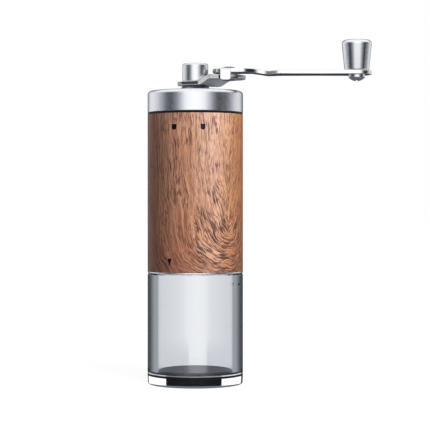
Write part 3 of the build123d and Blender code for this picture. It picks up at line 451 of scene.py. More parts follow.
# The grain is worked out in millimetres: girth runs round the sleeve from its front, and
# rise runs up it. Below the knot the rings close round it, and above it they lean away.
millimetres = 1000.0
sleeve_radius = 26.0
sleeve_rise = 85.4
knot_girth = 19.6
knot_rise = 22.7
spot = put(tree, "TexCoord").outputs["Object"]
spot = put(tree, "VectorMath", {0: spot, "Scale": millimetres}, operation="SCALE").outputs[0]
parts = put(tree, "SeparateXYZ", {0: spot}).outputs
facing = calc(tree, "MULTIPLY", parts[1], -1.0)
girth = calc(tree, "MULTIPLY", calc(tree, "ARCTAN2", parts[0], facing), sleeve_radius)
rise = calc(tree, "SUBTRACT", parts[2], low.z * millimetres)
drawn = put(tree, "VectorMath", {0: spot, 1: (1, 1, 0.45)}, operation="MULTIPLY").outputs[0]
wander = put(tree, "TexNoise", {"Vector": drawn, "Scale": 0.07, "Detail": 2.0}).outputs["Fac"]
wander = spread(tree, wander, 0.3, 0.7, -1.7, 1.7)
ripple = put(tree, "TexNoise", {"Vector": drawn, "Scale": 0.35, "Detail": 2.0}).outputs["Fac"]
ripple = spread(tree, ripple, 0.3, 0.7, -0.2, 0.2)
aside = calc(tree, "SUBTRACT", girth, knot_girth)
above = calc(tree, "SUBTRACT", rise, knot_rise)
below = calc(tree, "MULTIPLY", calc(tree, "MINIMUM", above, 0.0), 1.15)
over = calc(tree, "MAXIMUM", above, 0.0)


def distance(tree, one, other):
    """How far a place is from another, from how far it is aside and how far up or down."""
    squares = [calc(tree, "MULTIPLY", way, way) for way in (one, other)]
    return calc(tree, "SQRT", calc(tree, "ADD", *squares))


loop = distance(tree, aside, below)
fade = calc(tree, "ADD", calc(tree, "DIVIDE", over, 40.0), 1.0)
side_fade = calc(tree, "ADD", calc(tree, "POWER", calc(tree, "DIVIDE", aside, 22.0), 2.0), 1.0)
fade = calc(tree, "MULTIPLY", fade, side_fade)
lean = calc(tree, "DIVIDE", calc(tree, "MULTIPLY", over, 0.6), fade)
ring = calc(tree, "SUBTRACT", loop, lean)
ring = calc(tree, "ADD", calc(tree, "ADD", ring, wander), ripple)


def grain(tree, across, along, detail, rough, shift):
    """Noise drawn out along the grain; across and along are its pitch per millimetre."""
    sockets = {0: calc(tree, "ADD", calc(tree, "MULTIPLY", ring, across), shift),
               1: calc(tree, "MULTIPLY", girth, along),
               2: calc(tree, "MULTIPLY", rise, along)}
    where = put(tree, "CombineXYZ", sockets).outputs[0]
    return streaks(tree, where, detail, rough)


def tinted(tree, amount, one, other, kind="MIX"):
    """One colour turned into the other, or multiplied by it, by an amount from 0 to 1."""
    sockets = {"Factor": amount, 6: one, 7: other}
    return put(tree, "Mix", sockets, data_type="RGBA", blend_type=kind).outputs[2]


bands = grain(tree, 0.4, 0.02, 3.0, 0.6, 11.0)
fibres = grain(tree, 1.9, 0.07, 3.0, 0.75, 23.0)
tone = calc(tree, "ADD", calc(tree, "MULTIPLY", bands, 0.4), calc(tree, "MULTIPLY", fibres, 0.6))
fold = calc(tree, "ADD", above, 9.0)
near_knot = spread(tree, distance(tree, aside, fold), 14.0, 28.0, 1.0, 0.0)
boost = spread(tree, girth, -30.0, 16.0, 2.1, 0.75)
boost = calc(tree, "ADD", calc(tree, "MULTIPLY", near_knot, 0.35), boost)
tone = calc(tree, "ADD", calc(tree, "MULTIPLY", calc(tree, "SUBTRACT", tone, 0.5), boost), 0.5)
wood = tones(
    tree, tone, (0.34, (0.386, 0.179, 0.122)), (0.42, (0.655, 0.36, 0.253)),
    (0.5, (0.862, 0.509, 0.376)), (0.58, (0.99, 0.624, 0.475)), (0.68, (1.05, 0.73, 0.57)))
# Painted light and shade round the sleeve, as from the lamp at the front right: darker on the
# left, a painted highlight a little right of the front, and a flat tone behind.
around = spread(tree, girth, -34.0, 34.0, 0.0, 1.0)
painted_side_light = tones(
    tree, around, (0.0, (0.495, 0.33, 0.3)), (0.11, (0.295, 0.155, 0.095)),
    (0.27, (0.593, 0.512, 0.44)), (0.35, (0.642, 0.513, 0.45)), (0.45, (0.751, 0.633, 0.532)),
    (0.55, (0.83, 0.785, 0.733)), (0.66, (1.0, 1.0, 1.0)), (0.75, (0.882, 0.812, 0.7)),
    (0.88, (0.705, 0.516, 0.318)), (1.0, (0.54, 0.325, 0.11)))
behind = spread(tree, calc(tree, "ABSOLUTE", girth), 38.0, 78.0, 0.0, 1.0)
painted_side_light_behind = tinted(tree, behind, painted_side_light, (0.6, 0.44, 0.32, 1))
wood = tinted(tree, 1.0, wood, painted_side_light_behind, "MULTIPLY")
height = spread(tree, rise, 0.0, 84.0, 0.0, 1.0)
climb = tones(
    tree, height, (0.0, (0.731, 0.645, 0.634)), (0.1, (0.83, 0.712, 0.647)),
    (0.24, (0.929, 0.836, 0.775)), (0.5, (0.923, 0.876, 0.832)), (0.72, (0.912, 0.889, 0.867)),
    (0.88, (1.037, 1.033, 1.013)), (1.0, (1.117, 1.142, 1.196)))
wood = tinted(tree, 1.0, wood, climb, "MULTIPLY")
patches = put(tree, "TexNoise", {"Vector": spot, "Scale": 0.11, "Detail": 2.0}).outputs["Fac"]
patches = spread(tree, patches, 0.38, 0.6, 0.25, 0.9)
patches = calc(tree, "MINIMUM", calc(tree, "ADD", patches, near_knot), 1.0)
long_pores = spread(tree, grain(tree, 1.4, 0.15, 1.0, 0.4, 37.0), 0.55, 0.64, 0.0, 0.9)
short_pores = spread(tree, grain(tree, 2.0, 0.32, 1.0, 0.4, 51.0), 0.56, 0.64, 0.0, 0.85)
pores = calc(tree, "MULTIPLY", calc(tree, "MAXIMUM", long_pores, short_pores), patches)
knot_pores = spread(tree, grain(tree, 1.2, 0.14, 1.0, 0.4, 71.0), 0.53, 0.6, 0.0, 0.95)
pores = calc(tree, "MAXIMUM", pores, calc(tree, "MULTIPLY", knot_pores, near_knot))
pore_brown = (0.085, 0.042, 0.035, 1)
wood = tinted(tree, pores, wood, pore_brown)
# Painted shadow: the wood is painted nearly black just under its top rim, for the shade in the gap
# under the lid.
lid_gap_shadow = spread(tree, rise, sleeve_rise - 0.28, sleeve_rise - 0.18, 0.0, 1.0)
lid_gap_shadow_colour = (0.012, 0.01, 0.009, 1)
wood = tinted(tree, lid_gap_shadow, wood, lid_gap_shadow_colour)
tree.links.new(wood, shader.inputs["Base Color"])
roughened(shader, fibres, 0.55, 0.42)
embossed(shader, calc(tree, "SUBTRACT", fibres, pores), 0.17, 0.00006)
hang(sleeve, walnut, "housing", "walnut_wood", "wood_sleeve")

# Index marks, printed in black and a very dark blue: two notches near the wood's top show
# how the lid goes on, and an arrow near its foot shows where the jar locks. A small dash
# and a dot on the jar are the marks that the arrow is turned to.
print_black, tree, shader = new_finish(
    "print_black", base_color=(0.003, 0.003, 0.004, 1), specular_ior_level=0.08)
roughened(shader, plain_grain(tree, 9000.0, 2.0), 0.4, 0.55)


ink_film = 0.00002


def printed(name, columns, side, height, wall):
    """A film of ink wrapped round a wall: for each step across, where it starts and ends."""
    spots, faces = [], []
    for across, bottom, top in columns:
        turn = atan2(side, (wall**2 - side**2) ** 0.5) + across / wall
        for reach in (wall - ink_film, wall + ink_film):
            for up in (bottom, top):
                spots.append((reach * sin(turn), -reach * cos(turn), height + up))
    for k in range(0, len(spots) - 4, 4):
        faces += [(k + 2, k + 6, k + 7, k + 3), (k, k + 1, k + 5, k + 4)]
        faces += [(k + 1, k + 3, k + 7, k + 5), (k, k + 4, k + 6, k + 2)]
    faces += [(0, 2, 3, 1), (k + 4, k + 5, k + 7, k + 6)]
    mesh = bpy.data.meshes.new(name)
    mesh.from_pydata(spots, [], faces)
    return placed(name, mesh)


print_blue, tree, shader = new_finish("print_blue", specular_ior_level=0.1)
shaded(shader, plain_grain(tree, 6000.0, 2.0), (0.012, 0.014, 0.03), (0.024, 0.029, 0.055), 0.3)

# Each mark is a row of steps across: how far aside, where it starts and where it ends.
notch_half = 0.00132
notch = []
for k in range(13):
    across = -notch_half * cos(pi * k / 12)
    notch.append((across, -0.0003 - (notch_half**2 - across**2) ** 0.5 * 0.95, 0.0015))
arrow = [(-0.00115, 0.0015, 0.002), (0, -0.002, 0.002), (0.00115, 0.0015, 0.002)]
for name, ink, shape, side, height in (
    ("lid_mark_left", print_black, notch, -0.01095, 0.13885),
    ("lid_mark_right", print_blue, notch, 0.0044, 0.13885),
    ("jar_lock_arrow", print_black, arrow, -0.01345, 0.0668),
):
    hang(printed(name, shape, side, height, wood_radius), ink, "housing", "walnut_wood")
dash = [(-0.0004, -0.001, -0.0001), (0.0004, 0.0001, 0.001)]
dot_round = ((-1, 0.2), (-0.6, 0.8), (0, 1), (0.6, 0.8), (1, 0.2))
dot = [(0.0013 * x, -0.0006 * y, 0.0006 * y) for x, y in dot_round]
for name, shape, side, height in (
    ("jar_mark_dash", dash, 0.0204, 0.0551),
    ("jar_mark_dot", dot, 0.02355, 0.0546),
):
    hang(printed(name, shape, side, height, jar_radius), print_black, "jar", "clear_acrylic")


def dress(material, *names):
    """Gives carried-over solids their finish."""
    for name in names:
        nodes[name].data.materials.clear()
        nodes[name].data.materials.append(material)


anodised, tree, shader = new_finish(
    "anodised_aluminium", base_color=(0.5, 0.51, 0.53, 1), metallic=1.0)
turning = streaks(tree, lathe_lines(tree, 0, 5, 6000))
roughened(shader, turning, 0.28, 0.42)
embossed(shader, turning, 0.15, 0.00002)
dress(anodised, "jar_collar")

nylon, tree, shader = new_finish("black_nylon", specular_ior_level=0.45)
pebble = plain_grain(tree, 1800.0)
shaded(shader, pebble, (0.014, 0.014, 0.015), (0.032, 0.032, 0.034))
roughened(shader, pebble, 0.38, 0.56)
embossed(shader, pebble, 0.25, 0.00004)
dress(nylon, "burr_carrier", "lid_plug", "adjuster_nut", "burr_core")

# ---------------------------------------------------------------- burrs
# Hardened steel burrs: the fixed ring, its clamp ring with three slotted screws, and the
# inner cone that turns inside it. They are ground, and their tone varies at random.
burr_steel, tree, shader = new_finish(
    "burr_steel", base_color=(0.36, 0.365, 0.375, 1), metallic=1.0)
ground = streaks(tree, lathe_lines(tree, 0, 14, 3500))
temper = plain_grain(tree, 260.0)
shaded(shader, temper, (0.27, 0.265, 0.27), (0.44, 0.445, 0.46))
roughened(shader, ground, 0.24, 0.42)
embossed(shader, ground, 0.2, 0.00003)
dress(burr_steel, "ring_burr", "inner_burr")

fastener_steel, tree, shader = new_finish(
    "fastener_steel", base_color=(0.56, 0.565, 0.575, 1), metallic=1.0)
rolled = plain_grain(tree, 1400.0)
roughened(shader, rolled, 0.2, 0.36)
embossed(shader, rolled, 0.12, 0.00002)
dress(fastener_steel, "burr_clamp_ring", "clamp_screws", "shaft_washer", "thrust_washer",
      "click_plate")

# ---------------------------------------------------------------- shaft and adjuster
# The ground shaft, its sintered bushes, spring-steel clips and springs, and the brass
# insert of the adjusting nut that runs on the shaft's threaded end.
rivet_steel, tree, shader = new_finish(
    "rivet_steel", base_color=(0.6, 0.605, 0.62, 1), metallic=1.0)
buffed = plain_grain(tree, 2400.0)
roughened(shader, buffed, 0.14, 0.26)
swirl = embossed(shader, buffed, 0.08, 0.00002)
edge = put(tree, "Bevel", {"Radius": 0.00015}, samples=4)
tree.links.new(edge.outputs[0], swirl.inputs["Normal"])
dress(rivet_steel, "main_shaft", "knob_screw")

bronze, tree, shader = new_finish("bronze", metallic=1.0)
sintered = plain_grain(tree, 3200.0)
shaded(shader, sintered, (0.22, 0.12, 0.055), (0.5, 0.31, 0.16))
roughened(shader, sintered, 0.34, 0.55)
embossed(shader, sintered, 0.25, 0.00003)
dress(bronze, "lower_bush", "upper_bush", "lid_bush")

brass, tree, shader = new_finish("brass", base_color=(0.72, 0.5, 0.2, 1), metallic=1.0)
drawn = plain_grain(tree, 1500.0)
roughened(shader, drawn, 0.2, 0.36)
embossed(shader, drawn, 0.12, 0.00002)
dress(brass, "adjuster_insert")

spring_steel, tree, shader = new_finish("spring_steel", metallic=1.0)
blued = plain_grain(tree, 700.0)
shaded(shader, blued, (0.2, 0.205, 0.225), (0.36, 0.365, 0.38))
roughened(shader, blued, 0.22, 0.38)
dress(spring_steel, "shaft_circlip", "burr_spring", "detent_ball", "detent_spring",
      "collar_clip", "knob_snap_ring")

# ---------------------------------------------------------------- lid
# A cap drawn from steel sheet and brushed round and round, so fine lines run round its
# wall and its top. A black seal under its rim shows as a thin line above the wood.
low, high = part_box("lid_shell")
lid_radius = high.x
lid_wall = 0.001
lid_ease = 0.002
lid_hole = 0.00805
lid = turned("lid_shell_brushed", softened([
    (lid_radius - lid_wall, low.z, 0.0002),
    (lid_radius, low.z, 0.0003),
    (lid_radius, high.z, lid_ease),
    (lid_hole, high.z, 0.0002),
    (lid_hole, high.z - lid_wall, 0),
    (lid_radius - lid_wall, high.z - lid_wall, lid_ease - lid_wall),
]), steps=256)


def brushed(name, colour, middle, smoothest, roughest, along=9, across=6000):
    """Steel brushed on the lathe: the light smears across the brush lines."""
    material, tree, shader = new_finish(
        name, metallic=1.0, anisotropic=0.8, anisotropic_rotation=0.25)
    lines = streaks(tree, lathe_lines(tree, middle, along, across), 4.0, 0.7)
    shaded(shader, lines, [c * 0.86 for c in colour], [c * 1.1 for c in colour], 0.25)
    roughened(shader, lines, smoothest, roughest)
    embossed(shader, lines, 0.12, 0.00003)
    round_it = put(tree, "Tangent", direction_type="RADIAL", axis="Z")
    tree.links.new(round_it.outputs[0], shader.inputs["Tangent"])
    return material


lid_steel = brushed("brushed_steel", (0.637, 0.648, 0.681), 0, 0.17, 0.25, 30, 2800)
hang(lid, lid_steel, "lid", "brushed_steel", "lid_shell")

# The seal is a ring of the same black silicone, pushed up inside the lid's rim.
low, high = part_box("lid_seal")
seal_bore = 0.02335
lid_seal = turned("lid_seal_moulded", softened([
    (seal_bore, low.z, 0.0002),
    (high.x, low.z, 0.0003),
    (high.x, high.z, 0.0003),
    (seal_bore, high.z, 0.0002),
]), steps=256)
hang(lid_seal, black_silicone, "lid", "black_silicone", "lid_seal")

# ---------------------------------------------------------------- crank hub
# A flared collar stands on the lid, a pressed plate lies on it, and the turned cap on top
# holds the plate down on the shaft's hexagon. All of it is satin steel.
low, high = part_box("hub_collar")
collar_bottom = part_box("lid_bush")[1].z
collar_foot = high.x
collar_top = 0.0068
post_radius = 0.0055
post_bore = 0.0032
clip_depth = 0.0005
seat_radius = 0.00455
groove_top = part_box("lid_bush")[0].z
groove_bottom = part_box("collar_clip")[0].z
spigot_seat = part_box("hub_cap")[0].z
collar = turned("hub_collar_turned", softened([
    (post_bore, low.z, 0),
    (post_radius, low.z, 0.0002),
    (post_radius, groove_bottom, 0),
    (post_radius - clip_depth, groove_bottom, 0),
    (post_radius - clip_depth, groove_top, 0),
    (post_radius, groove_top, 0),
    (post_radius, collar_bottom, 0),
    (collar_foot, collar_bottom, 0.0003),
    (collar_top, high.z, 0.0002),
    (seat_radius, high.z, 0),
    (seat_radius, spigot_seat, 0),
    (post_bore, spigot_seat, 0),
]))
# The collar's steel is painted darker and bluer than the cap's: painted shade, for where it stands
# under the plate.
collar_shaded_steel = brushed("hub_collar_steel", (0.235, 0.245, 0.285), 0, 0.2, 0.3)
hang(collar, collar_shaded_steel, "crank", "hub_steel", "hub_collar")

low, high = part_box("hub_cap")
plate = 0.0022
plate_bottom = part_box("hub_plate")[0].z
cap_bottom = plate_bottom + plate
cap_radius = high.x
cap_foot_radius = 0.0066
cap_foot_top = cap_bottom + 0.0003
cap_spigot = 0.0045
socket_radius = 0.00295
socket_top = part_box("main_shaft")[1].z + 0.0002
cap = turned("hub_cap_turned", softened([
    (0, socket_top, 0),
    (socket_radius, socket_top, 0),
    (socket_radius, low.z, 0),
    (cap_spigot, low.z, 0.0002),
    (cap_spigot, cap_bottom, 0),
    (cap_foot_radius, cap_bottom, 0),
    (cap_foot_radius, cap_foot_top, 0),
    (cap_radius, cap_foot_top, 0.0003),
    (cap_radius, high.z, 0.001),
    (0, high.z, 0),
]))
hub_steel = brushed("hub_steel", (0.625, 0.63, 0.66), 0, 0.16, 0.26)
hang(cap, hub_steel, "crank", "hub_steel", "hub_cap")

# ---------------------------------------------------------------- crank plates and fold
# The hub plate and the arm are pressed from steel plate and tumbled to a soft satin. A
# domed rivet joins them, with a white washer between, so that the arm can fold.
def arc(x, y, radius, first, last):
    """Points round part of a circle, from one angle to another in degrees."""
    steps = round(abs(last - first) / 6)
    angles = [radians(first + (last - first) * k / steps) for k in range(steps + 1)]
    return [(x + radius * cos(a), y + radius * sin(a), 0) for a in angles]


def eased(name, work, axis, flattest, steepest, ease):
    """Rounds the rims where the faces square to an axis meet the walls beside them, and
    makes the piece."""
    rims = []
    for edge in work.edges:
        slopes = [abs(getattr(face.normal, axis)) for face in edge.link_faces]
        if len(slopes) == 2 and max(slopes) > flattest and min(slopes) < steepest:
            rims.append(edge)
    bmesh.ops.bevel(work, geom=rims, offset=ease, segments=3, profile=0.5, affect="EDGES")
    mesh = bpy.data.meshes.new(name)
    work.to_mesh(mesh)
    work.free()
    piece = placed(name, mesh, crease)
    piece.modifiers.new("flat_faces", "WEIGHTED_NORMAL").keep_sharp = True
    return piece


def level_at(line, reach):
    """The height of a bent line of (reach, height) spots at one reach."""
    for (start, low), (end, high) in zip(line, line[1:]):
        if reach <= end:
            return low + (high - low) * (reach - start) / (end - start)
    return line[-1][1]


def pressed(name, outline, holes, underside, thickness, skew=0.0, ease=0.0003, draft=0.0):
    """A pressed plate: an outline with round holes, bent to follow the line of its
    underside. The bends lie across the X axis, turned by skew, and all edges are eased."""
    loops = [outline, *([Vector(spot[:2]) for spot in arc(*hole, 360, 12)] for hole in holes)]
    loops = [[Vector((x, y, 0)) for x, y in loop] for loop in loops]
    work = bmesh.new()
    spots = [work.verts.new(spot) for loop in loops for spot in loop]
    for corners in tessellate_polygon(loops):
        work.faces.new([spots[k] for k in corners])
    bmesh.ops.dissolve_limit(
        work, angle_limit=radians(1), verts=work.verts[:], edges=work.edges[:])
    across = Vector((cos(skew), -sin(skew), 0))
    upper = []
    for k, spot in enumerate(underside):
        before, after = underside[max(k - 1, 0)], underside[min(k + 1, len(underside) - 1)]
        run = (Vector(after) - Vector(before)).normalized()
        upper.append(Vector(spot) + Vector((-run.y, run.x)) * thickness)
    for line in (underside, upper):
        for reach, _ in line[1:-1]:
            everything = work.verts[:] + work.edges[:] + work.faces[:]
            bmesh.ops.bisect_plane(work, geom=everything, plane_co=across * reach, plane_no=across)
    lifted = bmesh.ops.extrude_face_region(work, geom=work.faces[:])["geom"]
    top = {spot for spot in lifted if isinstance(spot, bmesh.types.BMVert)}
    for spot in work.verts:
        spot.co.z = level_at(upper if spot in top else underside, spot.co.dot(across))
    bmesh.ops.recalc_face_normals(work, faces=work.faces[:])
    drawn_in = {}
    for spot in set(work.verts) - top:
        walls = [face.normal for face in spot.link_faces if abs(face.normal.z) < 0.2]
        if walls:
            drawn_in[spot] = sum(walls, Vector()).normalized() * draft
    for spot, move in drawn_in.items():
        spot.co -= move
    work.normal_update()
    return eased(name, work, "z", 0.5, 0.2, ease)


def satin(name, smoothest, roughest, wall_shade_level):
    """Plate tumbled with small stones, which leaves a fine even grain. Its walls are painted
    darker than its flat faces, down to the level given: painted shade.
    """
    material, tree, shader = new_finish(name, metallic=1.0)
    tumbled = plain_grain(tree, 900.0, 5.0)
    tint = tones(tree, tumbled, (0.3, (0.64, 0.645, 0.66)), (0.7, (0.72, 0.725, 0.735)))
    upward = put(tree, "SeparateXYZ", {0: put(tree, "NewGeometry").outputs["Normal"]}).outputs[2]
    wall_shade = spread(tree, calc(tree, "ABSOLUTE", upward), 0.3, 0.8, wall_shade_level, 1.0)
    tree.links.new(tinted(tree, 1.0, tint, wall_shade, "MULTIPLY"), shader.inputs["Base Color"])
    below = spread(tree, upward, -0.8, -0.5, roughest, smoothest)
    rough = calc(tree, "MULTIPLY", below, spread(tree, tumbled, 0.3, 0.7, 0.8, 1.2))
    tree.links.new(rough, shader.inputs["Roughness"])
    embossed(shader, tumbled, 0.05, 0.00002)
    return material


# The hub plate's walls are painted much darker than the arm's: painted shade.
plate_steel = satin("plate_steel", 0.13, 0.13, 0.95)
hub_plate_shaded_steel = satin("hub_plate_shaded_steel", 0.18, 0.42, 0.55)

low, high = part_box("pivot_rivet")
pivot_reach = (low.x + high.x) / 2
rivet_radius = 0.0025
shoulder_end = 0.0132
shoulder_reach = 0.011
pivot_end = 0.0092
tail_reach = 0.0098
tail_radius = 0.0065
tail_middle = tail_radius - tail_reach
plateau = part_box("pivot_washer")[0].z - plate
shoulder_corner = 0.0008
hub_outline = softened([
    *arc(tail_middle, 0, tail_radius, 90, 236.4),
    (0.0015, -shoulder_reach, shoulder_corner),
    (shoulder_end, -shoulder_reach, shoulder_corner),
    *arc(pivot_reach, 0, pivot_end, -124.4, 90),
])

# The plate rises in two bends towards the rivet. Its line is drawn well beyond both ends.
hub_bend = 0.0026
beyond = 0.05
hole_fit = 0.00005
hub_line = softened([
    (-beyond, plate_bottom, 0),
    (0.0078, plate_bottom, hub_bend),
    (0.0118, plateau, hub_bend),
    (beyond, plateau, 0),
])
hub_holes = [(0, 0, cap_spigot + hole_fit), (pivot_reach, 0, rivet_radius + hole_fit)]
hub_plate = pressed("hub_plate_pressed", hub_outline, hub_holes, hub_line, plate,
                    skew=radians(30), ease=0.0004, draft=0.00027)
hang(hub_plate, hub_plate_shaded_steel, "crank", "plate_steel", "hub_plate")

# The arm is narrow at a neck, widens to a blade and drops in two bends towards the knob.
arm_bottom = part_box("pivot_washer")[1].z
arm_top = arm_bottom + plate
blade_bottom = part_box("knob_washer")[0].z - plate
knob_reach = sum(corner.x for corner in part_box("grip_knob")) / 2
joint_radius = 0.0089
neck_half = 0.0045
neck_near, neck_far = 0.0335, 0.0373
flare_half = 0.0079
flare_reach = 0.045
waist_half = 0.007
waist_reach = 0.0666
end_radius = 0.008
arm_curve = 0.006
arm_outline = softened([
    *arc(pivot_reach, 0, joint_radius, 30.4, 270),
    (0.0265, -joint_radius, arm_curve),
    (neck_near, -neck_half, arm_curve),
    (neck_far, -neck_half, arm_curve),
    (flare_reach, -flare_half, arm_curve),
    (waist_reach, -waist_half, arm_curve),
    *arc(knob_reach, 0, end_radius, -90, 90),
    (waist_reach, waist_half, arm_curve),
    (flare_reach, flare_half, arm_curve),
    (neck_far, neck_half, arm_curve),
])
arm_bend = 0.008
arm_line = softened([
    (-0.01, arm_bottom, 0),
    (0.0315, arm_bottom, arm_bend),
    (0.0398, blade_bottom - 0.00045, arm_bend),
    (0.046, blade_bottom, arm_bend),
    (0.12, blade_bottom, 0),
])
screw_hole = 0.0025
arm_holes = [(pivot_reach, 0, rivet_radius + 0.00002), (knob_reach, 0, screw_hole)]
arm = pressed("crank_arm_pressed", arm_outline, arm_holes, arm_line, plate)
hang(arm, plate_steel, "arm", "plate_steel", "crank_arm")

# The stop tab is bent down from the arm's near edge, and meets the hub plate's shoulder.
tab_start = 0.0135
tab_width = 0.0057
tab_inner = 0.0094
tab_bottom = arm_top - 0.0064
tab_outer = tab_inner + plate
tab_root = 0.007
tab_curve = 0.0016
root_top = arm_top - 0.00001
root_bottom = arm_bottom + 0.00001
tab_line = softened([
    (-tab_root, root_top, 0),
    (-tab_outer, root_top, tab_curve),
    (-tab_outer, tab_bottom, 0),
    (-tab_inner, tab_bottom, 0),
    (-tab_inner, root_bottom, 0),
    (-tab_root, root_bottom, 0),
])
work = bmesh.new()
side = work.faces.new([work.verts.new((tab_start, y, z)) for y, z in tab_line])
lifted = bmesh.ops.extrude_face_region(work, geom=[side])["geom"]
for spot in lifted:
    if isinstance(spot, bmesh.types.BMVert):
        spot.co.x += tab_width
bmesh.ops.recalc_face_normals(work, faces=work.faces[:])
corners = [edge for edge in work.edges
           if max(spot.co.z for spot in edge.verts) < tab_bottom + 1e-5
           and edge.verts[0].co.x == edge.verts[1].co.x]
bmesh.ops.bevel(
    work, geom=corners, offset=tab_curve, segments=8, profile=0.5, affect="EDGES")
tab = eased("crank_arm_tab", work, "x", 0.99, 0.01, 0.0003)
hang(tab, plate_steel, "arm", "plate_steel")

# The washers under the arm and under the knob are white acetal, which slides dry.
acetal, tree, shader = new_finish("white_acetal", base_color=(0.78, 0.78, 0.76, 1))
waxy = plain_grain(tree, 1500.0)
roughened(shader, waxy, 0.3, 0.45)
dress(acetal, "pivot_washer", "knob_washer")

# The rivet is turned, its head ball-shaped on top, and its tail is closed under the plate.
low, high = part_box("pivot_rivet")
head_radius = (high.x - low.x) / 2
foot_radius = 0.0036
dome_rise = high.z - arm_top
ball = (head_radius**2 + dome_rise**2) / (2 * dome_rise)
dome = []
for k in range(11):
    reach = head_radius * k / 10
    dome.append((reach, high.z - ball + (ball**2 - reach**2) ** 0.5))
rivet = turned("pivot_rivet_domed", softened([
    (0, low.z, 0),
    (foot_radius, low.z, 0.0004),
    (foot_radius, plateau, 0),
    (rivet_radius, plateau, 0),
    (rivet_radius, arm_top, 0),
    *[(radius, height, 0) for radius, height in reversed(dome)],
]), pivot_reach, steps=96)
hang(rivet, spring_steel, "arm", "rivet_steel", "pivot_rivet")

# ---------------------------------------------------------------- grip knob
# A solid metal knob, turned wider at the top so that fingers don't slip off, and brushed
# on the lathe. It spins on a slotted shoulder screw, held by a snap ring inside.
low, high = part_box("grip_knob")
knob_top_radius = 0.0084
knob_foot_radius = 0.0067
knob_bore = 0.00255
washer_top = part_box("knob_washer")[1].z
ring_low, ring_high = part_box("knob_snap_ring")
groove_radius = 0.0034
groove_slack = 0.0002
recess_radius = 0.0047
bore_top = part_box("knob_screw")[1].z + 0.001
knob = turned("grip_knob_turned", softened([
    (0, bore_top, 0),
    (knob_bore, bore_top, 0),
    (knob_bore, ring_high.z + groove_slack, 0),
    (groove_radius, ring_high.z + groove_slack, 0),
    (groove_radius, ring_low.z - groove_slack, 0),
    (knob_bore, ring_low.z - groove_slack, 0),
    (knob_bore, washer_top, 0),
    (recess_radius, washer_top, 0),
    (recess_radius, low.z, 0),
    (knob_foot_radius, low.z, 0.0004),
    (knob_top_radius, high.z, 0.002),
    (0, high.z, 0),
]), knob_reach, steps=160)
knob_steel = brushed("hub_steel_knob", (0.655, 0.667, 0.697), knob_reach, 0.12, 0.2)
hang(knob, knob_steel, "knob", "hub_steel", "grip_knob")

# ---------------------------------------------------------------- studio
# A pale floor, one broad soft lamp from the front right, a weak one behind, and a room
# that metal and glass mirror: a tall white screen in front with dark gaps beside it.
def set_lamp(name, strength, width, bearing, height):
    """A far lamp: its strength, how wide it looks, and where it hangs, in degrees."""
    lamp = bpy.data.lights.new(name, "SUN")
    lamp.energy = strength
    lamp.angle = radians(width)
    piece = bpy.data.objects.new(name, lamp)
    piece.rotation_euler = (radians(90 - height), 0, radians(bearing))
    piece.visible_glossy = False
    piece.visible_transmission = False
    bpy.context.scene.collection.objects.link(piece)


set_lamp("key_lamp", 3.1, 36, 30, 30)
set_lamp("back_lamp", 0.5, 50, 215, 40)

# To the camera the floor glows evenly, with a faint shadow on it. To the mill it is plain
# matt paper.
floor_mesh = bpy.data.meshes.new("floor")
floor_mesh.from_pydata([(-4, -2, 0), (4, -2, 0), (4, 6, 0), (-4, 6, 0)], [], [(0, 1, 2, 3)])
floor = placed("floor", floor_mesh)
floor.location.z = cad_box[0][2] - 0.00002
floor.visible_glossy = False
floor.visible_transmission = False
paper = bpy.data.materials.new("floor_paper")
paper.use_nodes = True
tree = paper.node_tree
tree.nodes.clear()
matt = put(tree, "BsdfDiffuse", {"Color": (0.45, 0.45, 0.45, 1)})
veil = put(tree, "BsdfDiffuse", {"Color": (0.15, 0.15, 0.15, 1)})
glow = put(tree, "Emission", {"Color": (1, 1, 1, 1), "Strength": 0.94})
seen = put(tree, "AddShader", {0: veil.outputs[0], 1: glow.outputs[0]})
ray = put(tree, "LightPath")
sockets = {0: ray.outputs["Is Camera Ray"], 1: matt.outputs[0], 2: seen.outputs[0]}
pick = put(tree, "MixShader", sockets)
put(tree, "OutputMaterial", {"Surface": pick.outputs[0]})
floor_mesh.materials.append(paper)

# The room is a stack of bands, and each has a grey level for every bearing. The bands are
# parted by their pitch, which is in degrees above or below level. Metal mirrors them.
world = bpy.data.worlds.new("studio")
bpy.context.scene.world = world
world.use_nodes = True
world.cycles.sampling_method = "NONE"
tree = world.node_tree
tree.nodes.clear()
ray = put(tree, "LightPath")
way = put(tree, "TexCoord").outputs["Generated"]
parts = put(tree, "SeparateXYZ", {0: way}).outputs
flat = put(tree, "CombineXYZ", {0: parts[0], 1: parts[1]}).outputs[0]
flat = put(tree, "VectorMath", {0: flat}, operation="NORMALIZE").outputs[0]
flat_parts = put(tree, "SeparateXYZ", {0: flat}).outputs
bearing = calc(tree, "ARCCOSINE", calc(tree, "MULTIPLY", flat_parts[1], -1.0))
bearing = calc(tree, "DIVIDE", bearing, pi)
pitch = calc(tree, "MULTIPLY", calc(tree, "ARCSINE", parts[2]), 180 / pi)


def room(stops, bearing):
    """Grey levels round the room, each at its bearing from the front in degrees."""
    return tones(tree, bearing, *((place / 180, (level,) * 3) for place, level in stops))


def blend(amount, one, other):
    """One level turned into the other, by an amount from 0 to 1."""
    return put(tree, "Mix", {"Factor": amount, 2: one, 3: other}, data_type="FLOAT").outputs[0]


